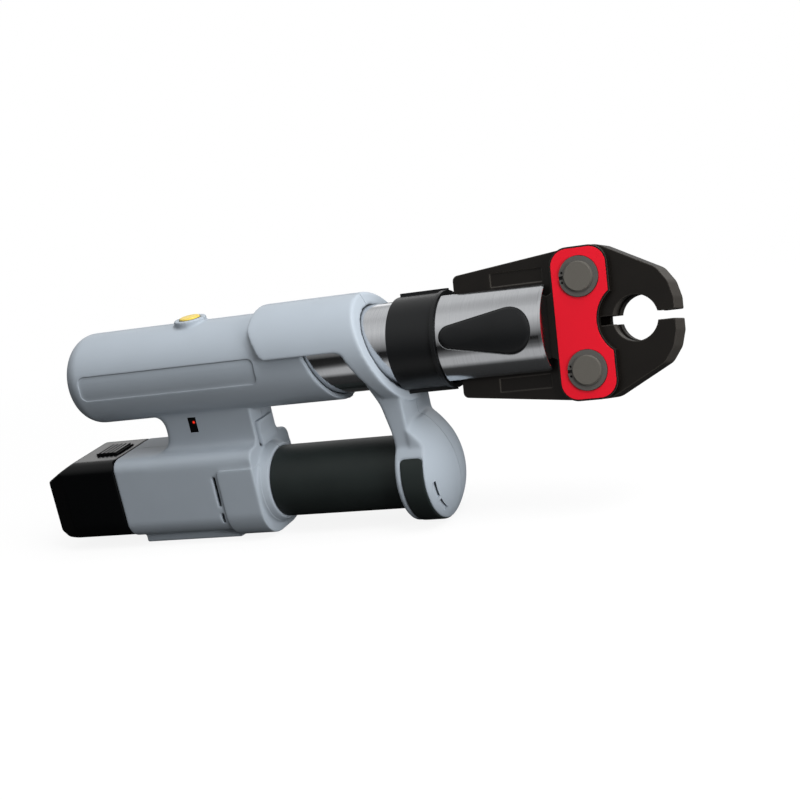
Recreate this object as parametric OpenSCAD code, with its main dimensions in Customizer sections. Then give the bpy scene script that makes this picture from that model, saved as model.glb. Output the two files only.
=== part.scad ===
// Hand-held battery press tool: barrel with hydraulic drive, grip bow, swivel fork head, 28 mm press jaws
// Millimetres. Origin at the centre of the jaw bore, +X along the tool axis to the jaw tips, +Z up.

/* [Jaws] */
// Radius of the pressing lands of the jaw bore
jaw_bore_r = 15.6; // [13:0.1:17]
// Radius of the bead groove between the lands
bead_groove_r = 17.6; // [17.2:0.1:19]
// Width of the bead groove
bead_groove_w = 9; // [6:0.5:12]
// Thickness of each jaw
jaw_t = 23; // [20:0.5:26]
// Gap between the jaw tips at rest
jaw_gap = 6; // [4:0.5:8]
// Distance from the bore centre to the jaw tips
jaw_tip = 27; // [25:0.5:30]
// Half height of the flat at the jaw tips
tip_h = 11; // [9:0.5:14]
// Height of the jaw crown above the tool axis
crown_h = 52.2; // [51:0.2:56]
// Distance from the bore centre back to the tail ends
tail_back = 129; // [127:0.5:131]
// Height of the outer edge of the tail ends
tail_out_h = 42.6; // [41:0.2:46]
// Height of the tails' inner edge at their ends
tail_in_h = 29.5; // [29:0.1:31]
// Height of the tails' inner edge at the rollers' rest place
ramp_h = 20.2; // [20:0.1:21]
// Height of the tails' inner edge at the rollers' closing place
ramp_low_h = 16.6; // [16.4:0.1:17.4]
// Depth of the shallow pockets in the tails
tail_pocket_depth = 0.8; // [0.4:0.1:1.5]

/* [Links] */
// Distance from the bore centre back to the pivot bolts
bolt_back = 35; // [34:0.5:37]
// Distance between the two pivot bolts
bolt_spread = 63.4; // [62:0.2:66]
// Radius of a pivot bolt
bolt_r = 10.4; // [9:0.1:11]
// Distance from the bore centre back to the retaining pin
pin_back = 83; // [82:0.5:84]
// Radius of the retaining pin
pin_r = 7.5; // [6:0.1:7.5]
// Thickness of a link plate
plate_t = 4.9; // [4:0.1:6]
// Radius of the link plate round a bolt
plate_lobe_r = 20.5; // [18:0.1:20.5]
// Radius of the link plate round the pin
plate_tongue_r = 11.5; // [10.5:0.1:12]
// Radius of the hollow in the link plate's front edge
plate_hollow_r = 24.4; // [21:0.1:26]
// Width of the black border round the red panel
panel_border = 1.2; // [0.5:0.1:2.5]
// Thickness of the red panel
panel_t = 0.5; // [0.3:0.1:1]
// Outer radius of a circlip
circlip_r = 13.8; // [12.5:0.1:14.5]
// Thickness of a circlip
circlip_t = 1.5; // [1:0.1:2]

/* [Head] */
// Roll of the swivel head about the tool axis at rest
head_roll = 15.56; // [0:0.01:45]
// Radius of the fork head
head_r = 34.3; // [33.5:0.1:35]
// Distance from the bore centre back to the fork's front end
fork_front = 59.5; // [58:0.5:61]
// Chamfer of the fork's front end
fork_chamfer = 2; // [1:0.5:4]
// Distance from the bore centre back to the end of the open slot
slot_back = 142; // [140:0.5:146]
// Distance from the bore centre back to the head's rear face
head_back = 175; // [174:0.5:176]
// Length of the black swivel band
band_len = 37; // [34:0.5:38]
// Outer radius of the swivel band
band_r = 33.6; // [33:0.1:35]
// Height of the band's front rim and ribs over the band
band_rim_h = 2.4; // [1:0.1:3]
// Radius of the paddle's round end over the pin
paddle_big_r = 16; // [13:0.1:16]
// Radius of the paddle's narrow end
paddle_small_r = 8; // [6:0.1:9]
// Distance between the two ends' centres of the paddle
paddle_len = 43; // [38:0.5:44]
// How far the paddle stands proud of the prong
paddle_rise = 0.9; // [0.5:0.1:2]

/* [Hydraulics] */
// Outer radius of the bright cylinder tube
tube_r = 30.8; // [30:0.1:31]
// Bore radius of the cylinder
cylinder_bore_r = 23; // [20:0.1:24]
// Radius of the piston rod
rod_r = 9; // [7:0.1:9.5]
// Thickness of the piston
piston_t = 18; // [14:0.5:20]
// Radius of a pressing roller
roller_r = 9; // [8.5:0.1:9]
// Radius of a roller axle
axle_r = 4; // [3:0.1:5]
// Distance from the bore centre back to the rollers at rest
roller_back = 111; // [111:0.5:112]
// Roller travel from rest to closed jaws
press_stroke = 7.8; // [7:0.1:7.8]
// Roller travel from rest to open jaws
open_stroke = 29; // [24:0.5:29]
// Length of the pump block
pump_len = 66; // [62:0.5:70]
// Radius of the pump plunger
plunger_r = 4; // [3:0.1:5]
// Throw of the pump eccentric
eccentric_throw = 1.2; // [0.5:0.1:1.4]

/* [Drive] */
// Radius of the motor can
motor_r = 24; // [22:0.5:25]
// Length of the motor can
motor_len = 57; // [50:0.5:58]
// Gear module
gear_module = 1.25; // [1.1:0.05:1.3]
// Teeth of the sun pinion
sun_teeth = 12; // [12:6:12]
// Teeth of a planet gear
planet_teeth = 15; // [15:6:15]
// Face width of the gears
gear_w = 10; // [8:0.5:11]

/* [Housing] */
// Outer radius of the barrel
barrel_r = 35.4; // [35:0.1:36.5]
// Wall of the plastic shells
wall = 3; // [2.5:0.1:3.2]
// Distance from the bore centre back to the barrel's rear end
barrel_back = 457; // [456:0.5:462]
// Edge radius of the barrel's rear end
barrel_fillet = 17; // [15:0.5:20]
// Distance from the bore centre back to the barrel's slanted front edge, at the axis
barrel_front_back = 240; // [238:0.5:242]
// Slant of the barrel's front edge
barrel_slant = 20; // [15:0.5:25]
// Depth of the plain recess on the barrel's sides
recess_depth = 0.6; // [0.3:0.1:1]
// Half width of the neck
neck_half_w = 16.5; // [15.5:0.5:18]
// Distance from the bore centre back to the front of neck and block
neck_front_back = 306; // [304:0.5:308]
// Distance from the bore centre back to the neck's rear
neck_rear_back = 384.5; // [382:0.5:387]
// Half width of the battery block
block_half_w = 32.6; // [31.5:0.1:34]
// Height of the block's top above the grip axis
block_rise = 35.8; // [35:0.2:36.4]
// Height of the block's underside below the grip axis
block_fall = 29.8; // [29.4:0.2:31]
// Distance from the bore centre back to the collar's front, where the sleeve begins
collar_front_back = 298; // [297:0.5:300]
// Distance from the bore centre back to the joint between block and battery
block_rear_back = 430; // [428:0.5:432]

/* [Bow and grip] */
// Outer radius of the saddle
saddle_r = 41; // [40:0.1:43]
// Distance from the bore centre back to the saddle's rear edge
saddle_back = 286; // [282:0.5:290]
// Height of the saddle's lower edge above the axis
saddle_edge_h = 8.5; // [6:0.5:12]
// Distance from the bore centre back to the ring's front, at the axis
ring_back = 187.5; // [185:0.5:189]
// Slant of the ring's front
ring_slant = 20; // [14:0.5:24]
// Half width of the strut
strut_half_w = 25; // [22:0.5:28]
// Distance from the bore centre back to the strut's front face
strut_front_back = 176.5; // [175:0.5:178]
// Thickness of the strut
strut_t = 13; // [12:0.5:15]
// Height of the grip axis below the barrel's underside
grip_clear = 61; // [60:0.2:62.4]
// Outer radius of the grip sleeve
grip_r = 27.3; // [26:0.1:28]
// Thickness of the grip sleeve
sleeve_t = 2.8; // [2:0.1:3.5]
// Radius of the drum that the tool stands on
drum_r = 36.5; // [36:0.1:38]
// Distance from the bore centre back to the drum's foremost point
drum_front_back = 153.5; // [152:0.5:154]
// Radius of the ball that rounds the drum's front and the strut's foot
dome_r = 58; // [52:0.5:60]
// Thickness of the rubber inlay
inlay_t = 1.8; // [1.2:0.1:2.2]

/* [Controls] */
// Radius of the release button
button_r = 8; // [6:0.1:9]
// Distance from the bore centre back to the release button
button_back = 348; // [346:0.5:349]
// Travel of the release button
button_travel = 2.5; // [1.5:0.1:3]
// Width of the trigger
trigger_w = 24; // [20:0.5:25]
// Travel of the trigger
trigger_travel = 3; // [2:0.1:4]

/* [Battery] */
// Distance from the bore centre back to the battery's rear face
battery_back = 500; // [498:1:508]
// Length of the battery inside the block
battery_insert = 55; // [54:0.5:57]
// Height of the battery's underside below the grip axis
battery_fall = 29.1; // [28:0.2:30]
// Radius of a cell
cell_r = 11.2; // [10:0.1:11.3]
// Length of a cell
cell_len = 43; // [38:0.5:46]
// Width of the ribbed latch
latch_w = 23; // [20:0.5:26]
// Length of the ribbed latch
latch_len = 20; // [18:0.5:24]

/* [Hidden] */
$fn = 64;

// Clearances: running fit of shafts, seat between pieces at rest, overrun of cuts
fit = 0.05;
seat = 0.3;
overrun = 1;
half_share = 0.5;
corner_steps = 6;
grip_drop = barrel_r + grip_clear;
block_top = grip_drop - block_rise;
block_bottom = grip_drop + block_fall;
battery_bottom = grip_drop + battery_fall;
ground = grip_drop + drum_r;

// Colours as the photograph shows them
grey = "#8d96a1";
black = "#1d1e20";
dark = "#2b2724";
silver = "#c4c7ca";
steel = "#8b8d90";
red = "#d8203a";
yellow = "#e6d36a";
green = "#2f6b45";
brass = "#b59a57";

// Places along the tool axis
bolt_x = -bolt_back;
bolt_z = bolt_spread / 2;
pin_x = -pin_back;
head_x = -head_back;
band_front_x = head_x + band_len;
tube_gap = 0.6;
tube_front_x = head_x - tube_gap;
gland_t = 14;
cylinder_floor_t = 10;
spring_room = 40;
piston_rest = open_stroke + 2 * tube_gap;
bore_len = piston_t + piston_rest + press_stroke + spring_room;
bore_front_x = tube_front_x - gland_t;
bore_rear_x = bore_front_x - bore_len;
tube_rear_x = bore_rear_x - cylinder_floor_t;
pump_front_x = tube_rear_x;
pump_rear_x = pump_front_x - pump_len;
barrel_in_r = barrel_r - wall;
drive_r = barrel_in_r - seat;

// Jaw outline
roller_z = roller_r + seat;
throat_h = 17.8;
throat_back = 68;
heel_back = 45;
nose_x_share = 0.63;
nose_h_share = 0.61;
cheek_x_share = 0.89;
cheek_h_share = 0.42;
crown_rear_x = -40;
crown_front_x = -22;
jaw_corner_rs = [3, 4, 30, 14, 10, 10, 8, 1, 0, 4, 0, 0];
roller_x = -roller_back;
roller_closed_x = roller_x + press_stroke;
roller_open_x = roller_x - open_stroke;

// Link plates, bolts and circlips
tail_pocket_h = 9.5;
tail_pocket_back = 101;
plate_clear = 0.1;
plate_waist = 0.5;
plate_corner = 13;
plate_in = jaw_t / 2 + plate_clear;
plate_out = plate_in + plate_t;
bolt_groove = 0.55;
bolt_end = plate_out + circlip_t * 2;
bolt_chamfer = 0.6;
circlip_hole_r = 0.9;
circlip_hole_angle = 16;
circlip_gap = 2.4;

// Head
slot_half = plate_out + seat;
head_core_r = 31.5;
band_groove = 1.5;
socket_depth = 7;
spigot_r = 24;
rod_clear = 0.5;
ring_groove_w = 2.4;
ring_groove_h = 1.4;
paddle_seat = 1.4;
arc_steps = 16;
rib_w = 3;
rim_w = 3;
carriage_t = 8;
carriage_h = 15.3;
roller_room = 10.5;
pocket_h = 19.3;
pocket_end_x = roller_open_x - roller_room - carriage_t - band_groove;
cheek_nose = 6.5;
cheek_in = jaw_t / 2 + seat;
cheek_out = slot_half - seat;

// Drive train
planet_orbit = gear_module * (sun_teeth + planet_teeth) / 2;
ring_teeth = sun_teeth + 2 * planet_teeth;
pressure_angle = 25;
addendum_share = 0.8;
dedendum_share = 1.05;
gear_backlash = 0.25;
flank_steps = 4;
planet_count = 3;
gear_gap = 0.5;
carrier_t = 4;
ring_gear_len = gear_w + carrier_t + 4 * gear_gap;
plate_wall = 4;
ring_front_x = pump_rear_x;
ring_rear_x = ring_front_x - ring_gear_len;
gear_rear_x = ring_rear_x + gear_gap;
motor_front_x = ring_rear_x - plate_wall;
motor_rear_x = motor_front_x - motor_len;
motor_wall = 2.5;
shaft_r = 2.5;
rotor_gap = 0.8;
magnet_t = 2.7;
planet_pin_r = 3;
output_shaft_r = 6;
bearing_t = 4;
chamber_r = 16;
chamber_depth = 20;
eccentric_r = 8;
eccentric_bearing_r = 13;
eccentric_w = 10;
plunger_len = 13;
plunger_x = pump_rear_x + bearing_t + seat + eccentric_w / 2;
plunger_top = eccentric_bearing_r + eccentric_throw + seat;
waist_r = 21;
waist_front = 9;
waist_len = 24;

// Housing
front_collar_len = 30;
gap_fillet = 9;
gap_low_fillet = 12;
barrel_flare = 6;
shoulder_flare = 6;
flare_angle = 45;
pad_corner = 5;
neck_top = 22;
block_top_fillet = 9;
block_low_fillet = 15;
pad_rear_back = 338;
pad_above_grip = 22.4;
pad_top = grip_drop - pad_above_grip;
pad_low_fillet = 24;
pad_rise = 0.8;
rail_half_w = 20;
rail_rear_back = 424;
collar_r = 32.2;
collar_lip = 1.5;
recess_front_back = 283;
recess_rear_back = 439;
recess_top = 10;
recess_low = 9;
vent_w = 2.6;
vent_back = 2.4;
vent_depth = 2;
vent_gap = 5;
vent_drops = [-17.4, 6.6, 12.1, 20.1];
vent_heights = [for (d = vent_drops) grip_drop + d];
boss_r = 5;
screw_r = 1.5;
screw_head_r = 3;
screw_head_t = 2.5;
screw_seat_y = 12;
screw_tip_y = -14;
window_w = 7;
window_top = barrel_r - 2 * seat;
window_low = window_top + 12;
window_back = 358;

// Bow
saddle_corner_back = 274;
saddle_shoulder_h = 30;
window_corner_back = 209;
ring_rear_backs = [204, 194, 189];
ring_rear_lows = [2, 20, 34];
strut_rear_backs = [206, 201, 194];
strut_rear_lows = [10, 23, 37];
strut_top_low = 33;
saddle_corner_rs = [0, 0, 0, 0, 0, 40, 40, 10, 6, 6];
strut_corner_rs = [0, 50, 30, 20, 0, 0, 0, 0];
drum_rear_x = -strut_front_back - strut_t;
strut_sink = 13;
foot_half_w = strut_half_w + overrun;
foot_rise = drum_r + 6.5;
seam_turn = 45;
inlay_above_grip = 19.4;
inlay_top = grip_drop - inlay_above_grip;
inlay_rear_back = 184.5;
inlay_front_back = 167;
slot_len_share = 0.3;
bow_screw_share = 0.62;

// Controls
boss_ring_r = button_r + 4.5;
boss_top = barrel_r + 3.4;
button_top = boss_top + 1.4;
button_stem_r = 3;
trigger_low = grip_drop - collar_r - seat;
trigger_share = 0.677;
trigger_h = (trigger_low - barrel_r) * trigger_share;
trigger_nose = 3;
trigger_tip_share = 0.9;
trigger_corner_rs = [0, 9, 3, 3, 9, 0];
trigger_reach_shares = [0.8, 1, 0.75, 1, 0.8];
trigger_rise_shares = [0, 0.12, 0.5, 0.88, 1];
trigger_root = 9;
switch_len = 20;
board_t = 1.6;
board_len = 38;
board_rear_x = -neck_rear_back + 4 * boss_r + seat;
board_y = -neck_half_w + 3 * wall;
neck_room = block_top - wall - drive_r - 2 * seat;

// Battery
battery_clear = 0.4;
insert_half_w = block_half_w - wall - battery_clear;
insert_top = block_top + wall + battery_clear;
insert_bottom = block_bottom - wall - battery_clear;
battery_front_x = -block_rear_back + battery_insert;
lid_t = 3;
battery_slope_back = 472;
battery_slope_h = 14;
battery_side_chamfer_len = 19;
battery_side_chamfer = 7.5;
battery_low_chamfer_len = 14;
battery_low_chamfer = 8.5;
cell_gap = 0.25;
cell_columns = 5;
cell_rows = 2;
contact_w = 6;
contact_h = 14;
contact_t = 0.8;
contact_spread = 9;
latch_front_back = 437;
latch_rise = 2;
latch_rib_h = 1;
latch_ribs = 5;
latch_body_t = 5;
latch_recess = 8;

// Springs: 6-sided wire on a helix
wire_sides = 6;
coil_steps = 8;

// Solid along X between two places
module bar(x0, x1) {
    translate([x0, 0, 0]) rotate([90, 0, 90]) linear_extrude(x1 - x0) children();
}

// Solid along Y between two places, from an outline in X and Z
module slab(y0, y1) {
    translate([0, y1, 0]) rotate([90, 0, 0]) linear_extrude(y1 - y0) children();
}

// Body turned about X from a profile in radius and X
module turned() {
    rotate([0, 90, 0]) rotate_extrude() children();
}

// Round rod along X
module rod_x(x0, x1, r) {
    translate([x0, 0, 0]) rotate([0, 90, 0]) cylinder(r = r, h = x1 - x0);
}

// Round rod along Y at a place in X and Z
module rod_y(x, z, y0, y1, r) {
    translate([x, y1, z]) rotate([90, 0, 0]) cylinder(r = r, h = y1 - y0);
}

// Tube along X
module tube_x(x0, x1, r_out, r_in) {
    difference() {
        rod_x(x0, x1, r_out);
        rod_x(x0 - overrun, x1 + overrun, r_in);
    }
}

// Point turned about the origin
function swung(v, a) = [v.x * cos(a) - v.y * sin(a), v.x * sin(a) + v.y * cos(a)];

// Arc in place of the corner p between a and b
function corner(a, p, b, r) = let (u = (a - p) / norm(a - p), v = (b - p) / norm(b - p), open = acos(u * v),
    start = p + u * r / tan(open / 2), centre = p + (u + v) / norm(u + v) * r / sin(open / 2))
    [for (i = [0:corner_steps])
        centre + swung(start - centre, -sign(cross(u, v)) * (180 - open) * i / corner_steps)];

// Outline with a radius for each of its corners, zero for a sharp one
function rounded(points, radii) = let (n = len(points)) [for (i = [0:n - 1])
    each radii[i] == 0 ? [points[i]]
        : corner(points[(i + n - 1) % n], points[i], points[(i + 1) % n], radii[i])];

// Rectangle with round corners: its low and high corners, radius of the lower and of the upper corners
module round_rect(low, high, r_low, r_high) {
    w = high.x - low.x;
    h = high.y - low.y;
    translate([low.x, low.y + r_low]) square([w, h - r_low - r_high]);
    translate([low.x + r_low, low.y]) square([w - 2 * r_low, h / 2]);
    translate([low.x + r_high, low.y + h / 2]) square([w - 2 * r_high, h / 2]);
    for (x = [low.x + r_low, high.x - r_low]) translate([x, low.y + r_low]) circle(r_low);
    for (x = [low.x + r_high, high.x - r_high]) translate([x, high.y - r_high]) circle(r_high);
}

// Coil spring standing on Z = 0
module coil(r, wire_r, len, turns) {
    rings = turns * coil_steps;
    points = [for (i = [0:rings], j = [0:wire_sides - 1])
        let (a = 360 * i / coil_steps, b = 360 * j / wire_sides, ring = r + wire_r * cos(b))
        [ring * cos(a), ring * sin(a), wire_r + (len - 2 * wire_r) * i / rings + wire_r * sin(b)]];
    sides = [for (i = [0:rings - 1], j = [0:wire_sides - 1], upper = [0, 1])
        let (k = (j + 1) % wire_sides, p = i * wire_sides, q = p + wire_sides)
        upper == 0 ? [p + j, q + j, p + k] : [p + k, q + j, q + k]];
    first = [[for (j = [0:wire_sides - 1]) j]];
    last = [[for (j = [wire_sides - 1:-1:0]) rings * wire_sides + j]];
    polyhedron(points, concat(sides, first, last));
}

// Everything that turns with the swivel head
module head_frame() {
    rotate([-head_roll, 0, 0]) children();
}

// Outline of a spur gear with involute flanks, first tooth on +X; thicken widens every tooth
function polar(r, a) = [r * cos(a), r * sin(a)];
function involute_angle(base, r) = let (t = sqrt(max((r / base) ^ 2 - 1, 0))) t * 180 / PI - atan(t);
function tooth_half(teeth, pitch, base, r, thicken) = 90 / teeth + thicken / pitch * 90 / PI
    + involute_angle(base, pitch) - involute_angle(base, r);
function gear_points(teeth, root, tip, thicken) = let (pitch = gear_module * teeth / 2,
    base = pitch * cos(pressure_angle), start = max(root, base))
    [for (i = [0:teeth - 1]) let (a = 360 * i / teeth) each concat(
        [polar(root, a - tooth_half(teeth, pitch, base, start, thicken))],
        [for (k = [0:flank_steps]) let (r = start + (tip - start) * k / flank_steps)
            polar(r, a - tooth_half(teeth, pitch, base, r, thicken))],
        [for (k = [flank_steps:-1:0]) let (r = start + (tip - start) * k / flank_steps)
            polar(r, a + tooth_half(teeth, pitch, base, r, thicken))],
        [polar(root, a + tooth_half(teeth, pitch, base, start, thicken))])];

// External gear between two places on the axis
module spur(teeth, x0, x1) {
    pitch = gear_module * teeth / 2;
    root = pitch - gear_module * dedendum_share;
    tip = pitch + gear_module * addendum_share;
    bar(x0, x1) polygon(gear_points(teeth, root, tip, -gear_backlash));
}

// Outline of the barrel from the axis out, in radius and X
module barrel_profile(r, fillet, x0, x1) {
    translate([0, x0]) square([r - fillet, x1 - x0]);
    translate([0, x0 + fillet]) square([r, x1 - x0 - fillet]);
    intersection() {
        translate([r - fillet, x0 + fillet]) circle(fillet);
        translate([0, x0]) square([r, fillet]);
    }
}

// Cross-section of the battery block, drawn in on all sides by an inset
module block_section(inset) {
    round_rect([-block_half_w + inset, -block_bottom + inset], [block_half_w - inset, -block_top - inset],
        block_low_fillet - inset, block_top_fillet - inset);
}

// Cross-section of the pad round the block's front end
module pad_section() {
    round_rect([-block_half_w - pad_rise, -ground], [block_half_w + pad_rise, -pad_top + overrun],
        pad_low_fillet, pad_rise);
}

// Cross-section of the neck, flared into the barrel above and the block below
module neck_section() {
    join_z = -sqrt(barrel_r * barrel_r - neck_half_w * neck_half_w);
    flank = (barrel_r - wall / 2) * [sin(flare_angle), -cos(flare_angle)];
    foot = neck_half_w + shoulder_flare + overrun;
    side = [[foot, -block_top - wall], [foot, -block_top], [neck_half_w, -block_top], [neck_half_w, join_z],
        flank];
    radii = [0, 0, shoulder_flare, barrel_flare, 0];
    n = len(side);
    polygon(rounded(concat(side, [for (i = [1:n]) [-side[n - i].x, side[n - i].y]]),
        concat(radii, [for (i = [1:n]) radii[n - i]])));
}

// Barrel, neck and block as one outer form
module housing_form() {
    difference() {
        turned() barrel_profile(barrel_r, barrel_fillet, -barrel_back, -barrel_front_back + barrel_r);
        translate([-barrel_front_back, 0, 0]) rotate([0, -barrel_slant, 0])
            translate([0, -2 * barrel_r, -2 * barrel_r]) cube(4 * barrel_r);
    }
    difference() {
        bar(-neck_rear_back - gap_low_fillet, -neck_front_back) neck_section();
        slab(-2 * block_half_w, 2 * block_half_w)
            round_rect([-block_rear_back - overrun, -block_top], [-neck_rear_back, neck_top],
                gap_low_fillet, gap_low_fillet);
    }
    intersection() {
        turned() difference() {
            translate([neck_top, -neck_rear_back - gap_fillet])
                square([barrel_r + gap_fillet - neck_top, gap_fillet + overrun]);
            translate([barrel_r + gap_fillet, -neck_rear_back - gap_fillet]) circle(gap_fillet);
        }
        translate([-neck_rear_back - 2 * gap_fillet, -neck_half_w, -block_top])
            cube([4 * gap_fillet, 2 * neck_half_w, block_top - neck_top]);
    }
    bar(-block_rear_back, -neck_front_back) block_section(0);
    intersection() {
        bar(-pad_rear_back, -neck_front_back) pad_section();
        slab(-2 * block_half_w, 2 * block_half_w)
            round_rect([-pad_rear_back, -2 * ground], [-neck_front_back + 2 * pad_corner, -pad_top],
                pad_corner, pad_corner);
    }
    bar(-rail_rear_back, -pad_rear_back + overrun)
        round_rect([-rail_half_w, -ground], [rail_half_w, -block_bottom + wall], pad_rise, pad_rise);
    translate([-neck_front_back - overrun, 0, -grip_drop]) rotate([0, 90, 0])
        cylinder(r1 = collar_r, r2 = grip_r + collar_lip, h = neck_front_back - collar_front_back + overrun);
    translate([-button_back, 0, 0]) cylinder(r = boss_ring_r, h = boss_top);
}

// Hollows and openings of the housing
module housing_hollows() {
    turned() barrel_profile(barrel_in_r, barrel_fillet - wall, -barrel_back + wall,
        -barrel_front_back - front_collar_len);
    rod_x(-barrel_front_back - front_collar_len - overrun, -barrel_front_back + 2 * barrel_r, tube_r + seat);
    bar(-block_rear_back - overrun, -neck_front_back - wall)
        round_rect([-block_half_w + wall, -block_bottom + wall], [block_half_w - wall, -block_top - wall],
            block_low_fillet - wall, block_top_fillet - wall);
    translate([-neck_rear_back + wall, -neck_half_w + wall, -block_top - 2 * wall])
        cube([neck_rear_back - neck_front_back - 2 * wall, 2 * (neck_half_w - wall),
            block_top + 2 * wall - neck_top]);
    translate([0, 0, -grip_drop])
        rod_x(-neck_front_back, -collar_front_back + overrun, grip_core_r + fit);
    translate([-neck_front_back - 2 * wall, -trigger_w / 2 - seat, -trigger_low])
        cube([4 * wall + trigger_nose, trigger_w + 2 * seat, trigger_h + seat]);
    translate([-button_back, 0, 0]) cylinder(r = button_stem_r + seat, h = boss_top + overrun);
    translate([-button_back, 0, barrel_r - wall / 2]) cylinder(r = button_r + seat, h = boss_top);
    for (side = [-1, 1]) recess(side);
    for (side = [-1, 1]) vents(side);
    translate([-window_back - window_w / 2, -neck_half_w - overrun, -window_low])
        cube([window_w, wall + 2 * overrun, window_low - window_top]);
}

// Shallow plain recess on one side of the barrel
module recess(side) {
    difference() {
        slab(side < 0 ? -barrel_r - overrun : 0, side < 0 ? 0 : barrel_r + overrun)
            round_rect([-recess_rear_back, -recess_low], [-recess_front_back, recess_top], boss_r, boss_r);
        rod_x(-barrel_back, -neck_front_back + barrel_r, barrel_r - recess_depth);
    }
}

// Two slots behind the pad on one side
module vents(side) {
    for (i = [0, 2]) {
        x = -pad_rear_back - vent_back - vent_w;
        translate([x, side < 0 ? -block_half_w - overrun : block_half_w - vent_depth, -vent_heights[i + 1]])
            cube([vent_w, vent_depth + overrun, vent_heights[i + 1] - vent_heights[i]]);
    }
}

// Screw places of the housing, in X and Z, and how far their bosses reach to either side
housing_screw_spots = [
    [-barrel_back + barrel_fillet / 2, 0, barrel_r - barrel_fillet / 2],
    [-neck_rear_back + 3 * boss_r, -block_top + boss_r, neck_half_w - overrun],
    [battery_front_x + 3 * boss_r, -block_bottom + block_low_fillet, block_half_w - overrun],
    [-pad_rear_back + boss_r, -block_bottom + block_low_fillet, block_half_w - overrun]];

// Posts that carry the control board, in X and Z
post_share = 0.35;
board_posts = [for (end = [-1, 1])
    [board_rear_x + board_len * (half_share + end * post_share), -(window_low + block_top) / 2]];

// One housing half: side -1 is the near half, 1 the far half
module housing_half(side) {
    difference() {
        intersection() {
            union() {
                difference() {
                    housing_form();
                    housing_hollows();
                }
                for (p = housing_screw_spots) rod_y(p.x, p.y, -p.z, p.z, boss_r);
                for (p = board_posts) rod_y(p.x, p.y, -neck_half_w + wall / 2, board_y, boss_r / 2);
            }
            translate([-battery_back, side < 0 ? -2 * barrel_r : 0, -2 * ground])
                cube([battery_back, 2 * barrel_r, 4 * ground]);
        }
        for (p = housing_screw_spots) screw_cut(p);
    }
}

// Hole for one screw: core, and the seat of its head on the far side
module screw_cut(p) {
    rod_y(p.x, p.y, screw_tip_y - overrun, screw_seat_y + overrun, screw_r);
    rod_y(p.x, p.y, screw_seat_y, 2 * barrel_r, screw_head_r + seat);
}

// One screw with a cross recess
module screw(p) {
    difference() {
        union() {
            rod_y(p.x, p.y, screw_tip_y, screw_seat_y, screw_r);
            rod_y(p.x, p.y, screw_seat_y, screw_seat_y + screw_head_t, screw_head_r);
        }
        for (turn = [0, 90]) translate([p.x, screw_seat_y + screw_head_t, p.y]) rotate([0, turn, 0])
            cube([screw_head_r, screw_head_t, screw_r / 2], center = true);
    }
}

module housing_left() {
    color(grey) housing_half(-1);
}

module housing_right() {
    color(grey) housing_half(1);
}

module housing_screws() {
    color(steel) for (p = housing_screw_spots) screw(p);
}

// Side outline of the saddle and ring
module saddle_outline() {
    reach = saddle_r + overrun;
    rear = [for (i = [2:-1:0]) [-ring_rear_backs[i], -ring_rear_lows[i]]];
    polygon(rounded(concat([[-saddle_back, reach], [-ring_back - reach * tan(ring_slant), reach],
        [-ring_back + reach * tan(ring_slant), -reach], [-ring_rear_backs[2], -reach]], rear,
        [[-window_corner_back, saddle_edge_h], [-saddle_corner_back, saddle_edge_h],
        [-saddle_back, saddle_shoulder_h]]), saddle_corner_rs));
}

// Side outline of the strut
module strut_outline() {
    rear = [for (i = [2:-1:0]) [-strut_rear_backs[i], -strut_rear_lows[i]]];
    foot_z = -grip_drop + strut_sink;
    polygon(rounded(concat([[drum_rear_x, foot_z], [drum_rear_x, -block_top]], rear,
        [[-ring_back, -strut_rear_lows[0]], [-strut_front_back, -strut_top_low],
        [-strut_front_back, foot_z]]), strut_corner_rs));
}

// Saddle, ring, strut and drum as one outer form
module bow_form() {
    intersection() {
        slab(-2 * saddle_r, 2 * saddle_r) saddle_outline();
        rod_x(-saddle_back - overrun, -strut_front_back + saddle_r, saddle_r);
    }
    slab(-strut_half_w, strut_half_w) strut_outline();
    translate([0, 0, -grip_drop]) intersection() {
        translate([-drum_front_back - dome_r, 0, 0]) rotate([seam_turn, 0, 0]) turned() intersection() {
            circle(dome_r);
            translate([0, -dome_r]) square([dome_r, 2 * dome_r]);
        }
        union() {
            rod_x(drum_rear_x, -drum_front_back + overrun, drum_r);
            translate([-strut_front_back - overrun, -foot_half_w, 0])
                cube([strut_front_back - drum_front_back + 2 * overrun, 2 * foot_half_w, foot_rise]);
        }
    }
}

// Hollows of the bow
module bow_hollows() {
    rod_x(-saddle_back - overrun, -strut_front_back + saddle_r, tube_r + seat);
    rod_x(-saddle_back - overrun, -barrel_front_back, barrel_r + seat);
    rod_x(-head_back - seat, -strut_front_back + saddle_r, band_r + band_rim_h + seat);
    translate([0, 0, -grip_drop]) {
        rod_x(drum_rear_x - overrun, drum_rear_x + 2 * wall, grip_core_r + fit);
        rod_x(drum_rear_x + wall, -drum_front_back - 3 * wall, drum_r - strut_sink - wall);
        difference() {
            rod_x(-inlay_rear_back, -inlay_front_back, drum_r + overrun);
            rod_x(-inlay_rear_back - overrun, -inlay_front_back + overrun, drum_r - inlay_t);
            translate([-inlay_rear_back - overrun, -2 * drum_r, grip_drop - inlay_top])
                cube([inlay_rear_back, 4 * drum_r, 2 * drum_r]);
        }
    }
    for (side = [-1, 1]) for (i = [0, 1]) {
        slot_h = drum_r * slot_len_share;
        slot_z = -grip_drop - slot_h - i * (slot_h + vent_gap);
        translate([-inlay_front_back + vent_gap, side < 0 ? -drum_r : 0, slot_z])
            cube([vent_w, drum_r, slot_h]);
    }
}

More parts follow.
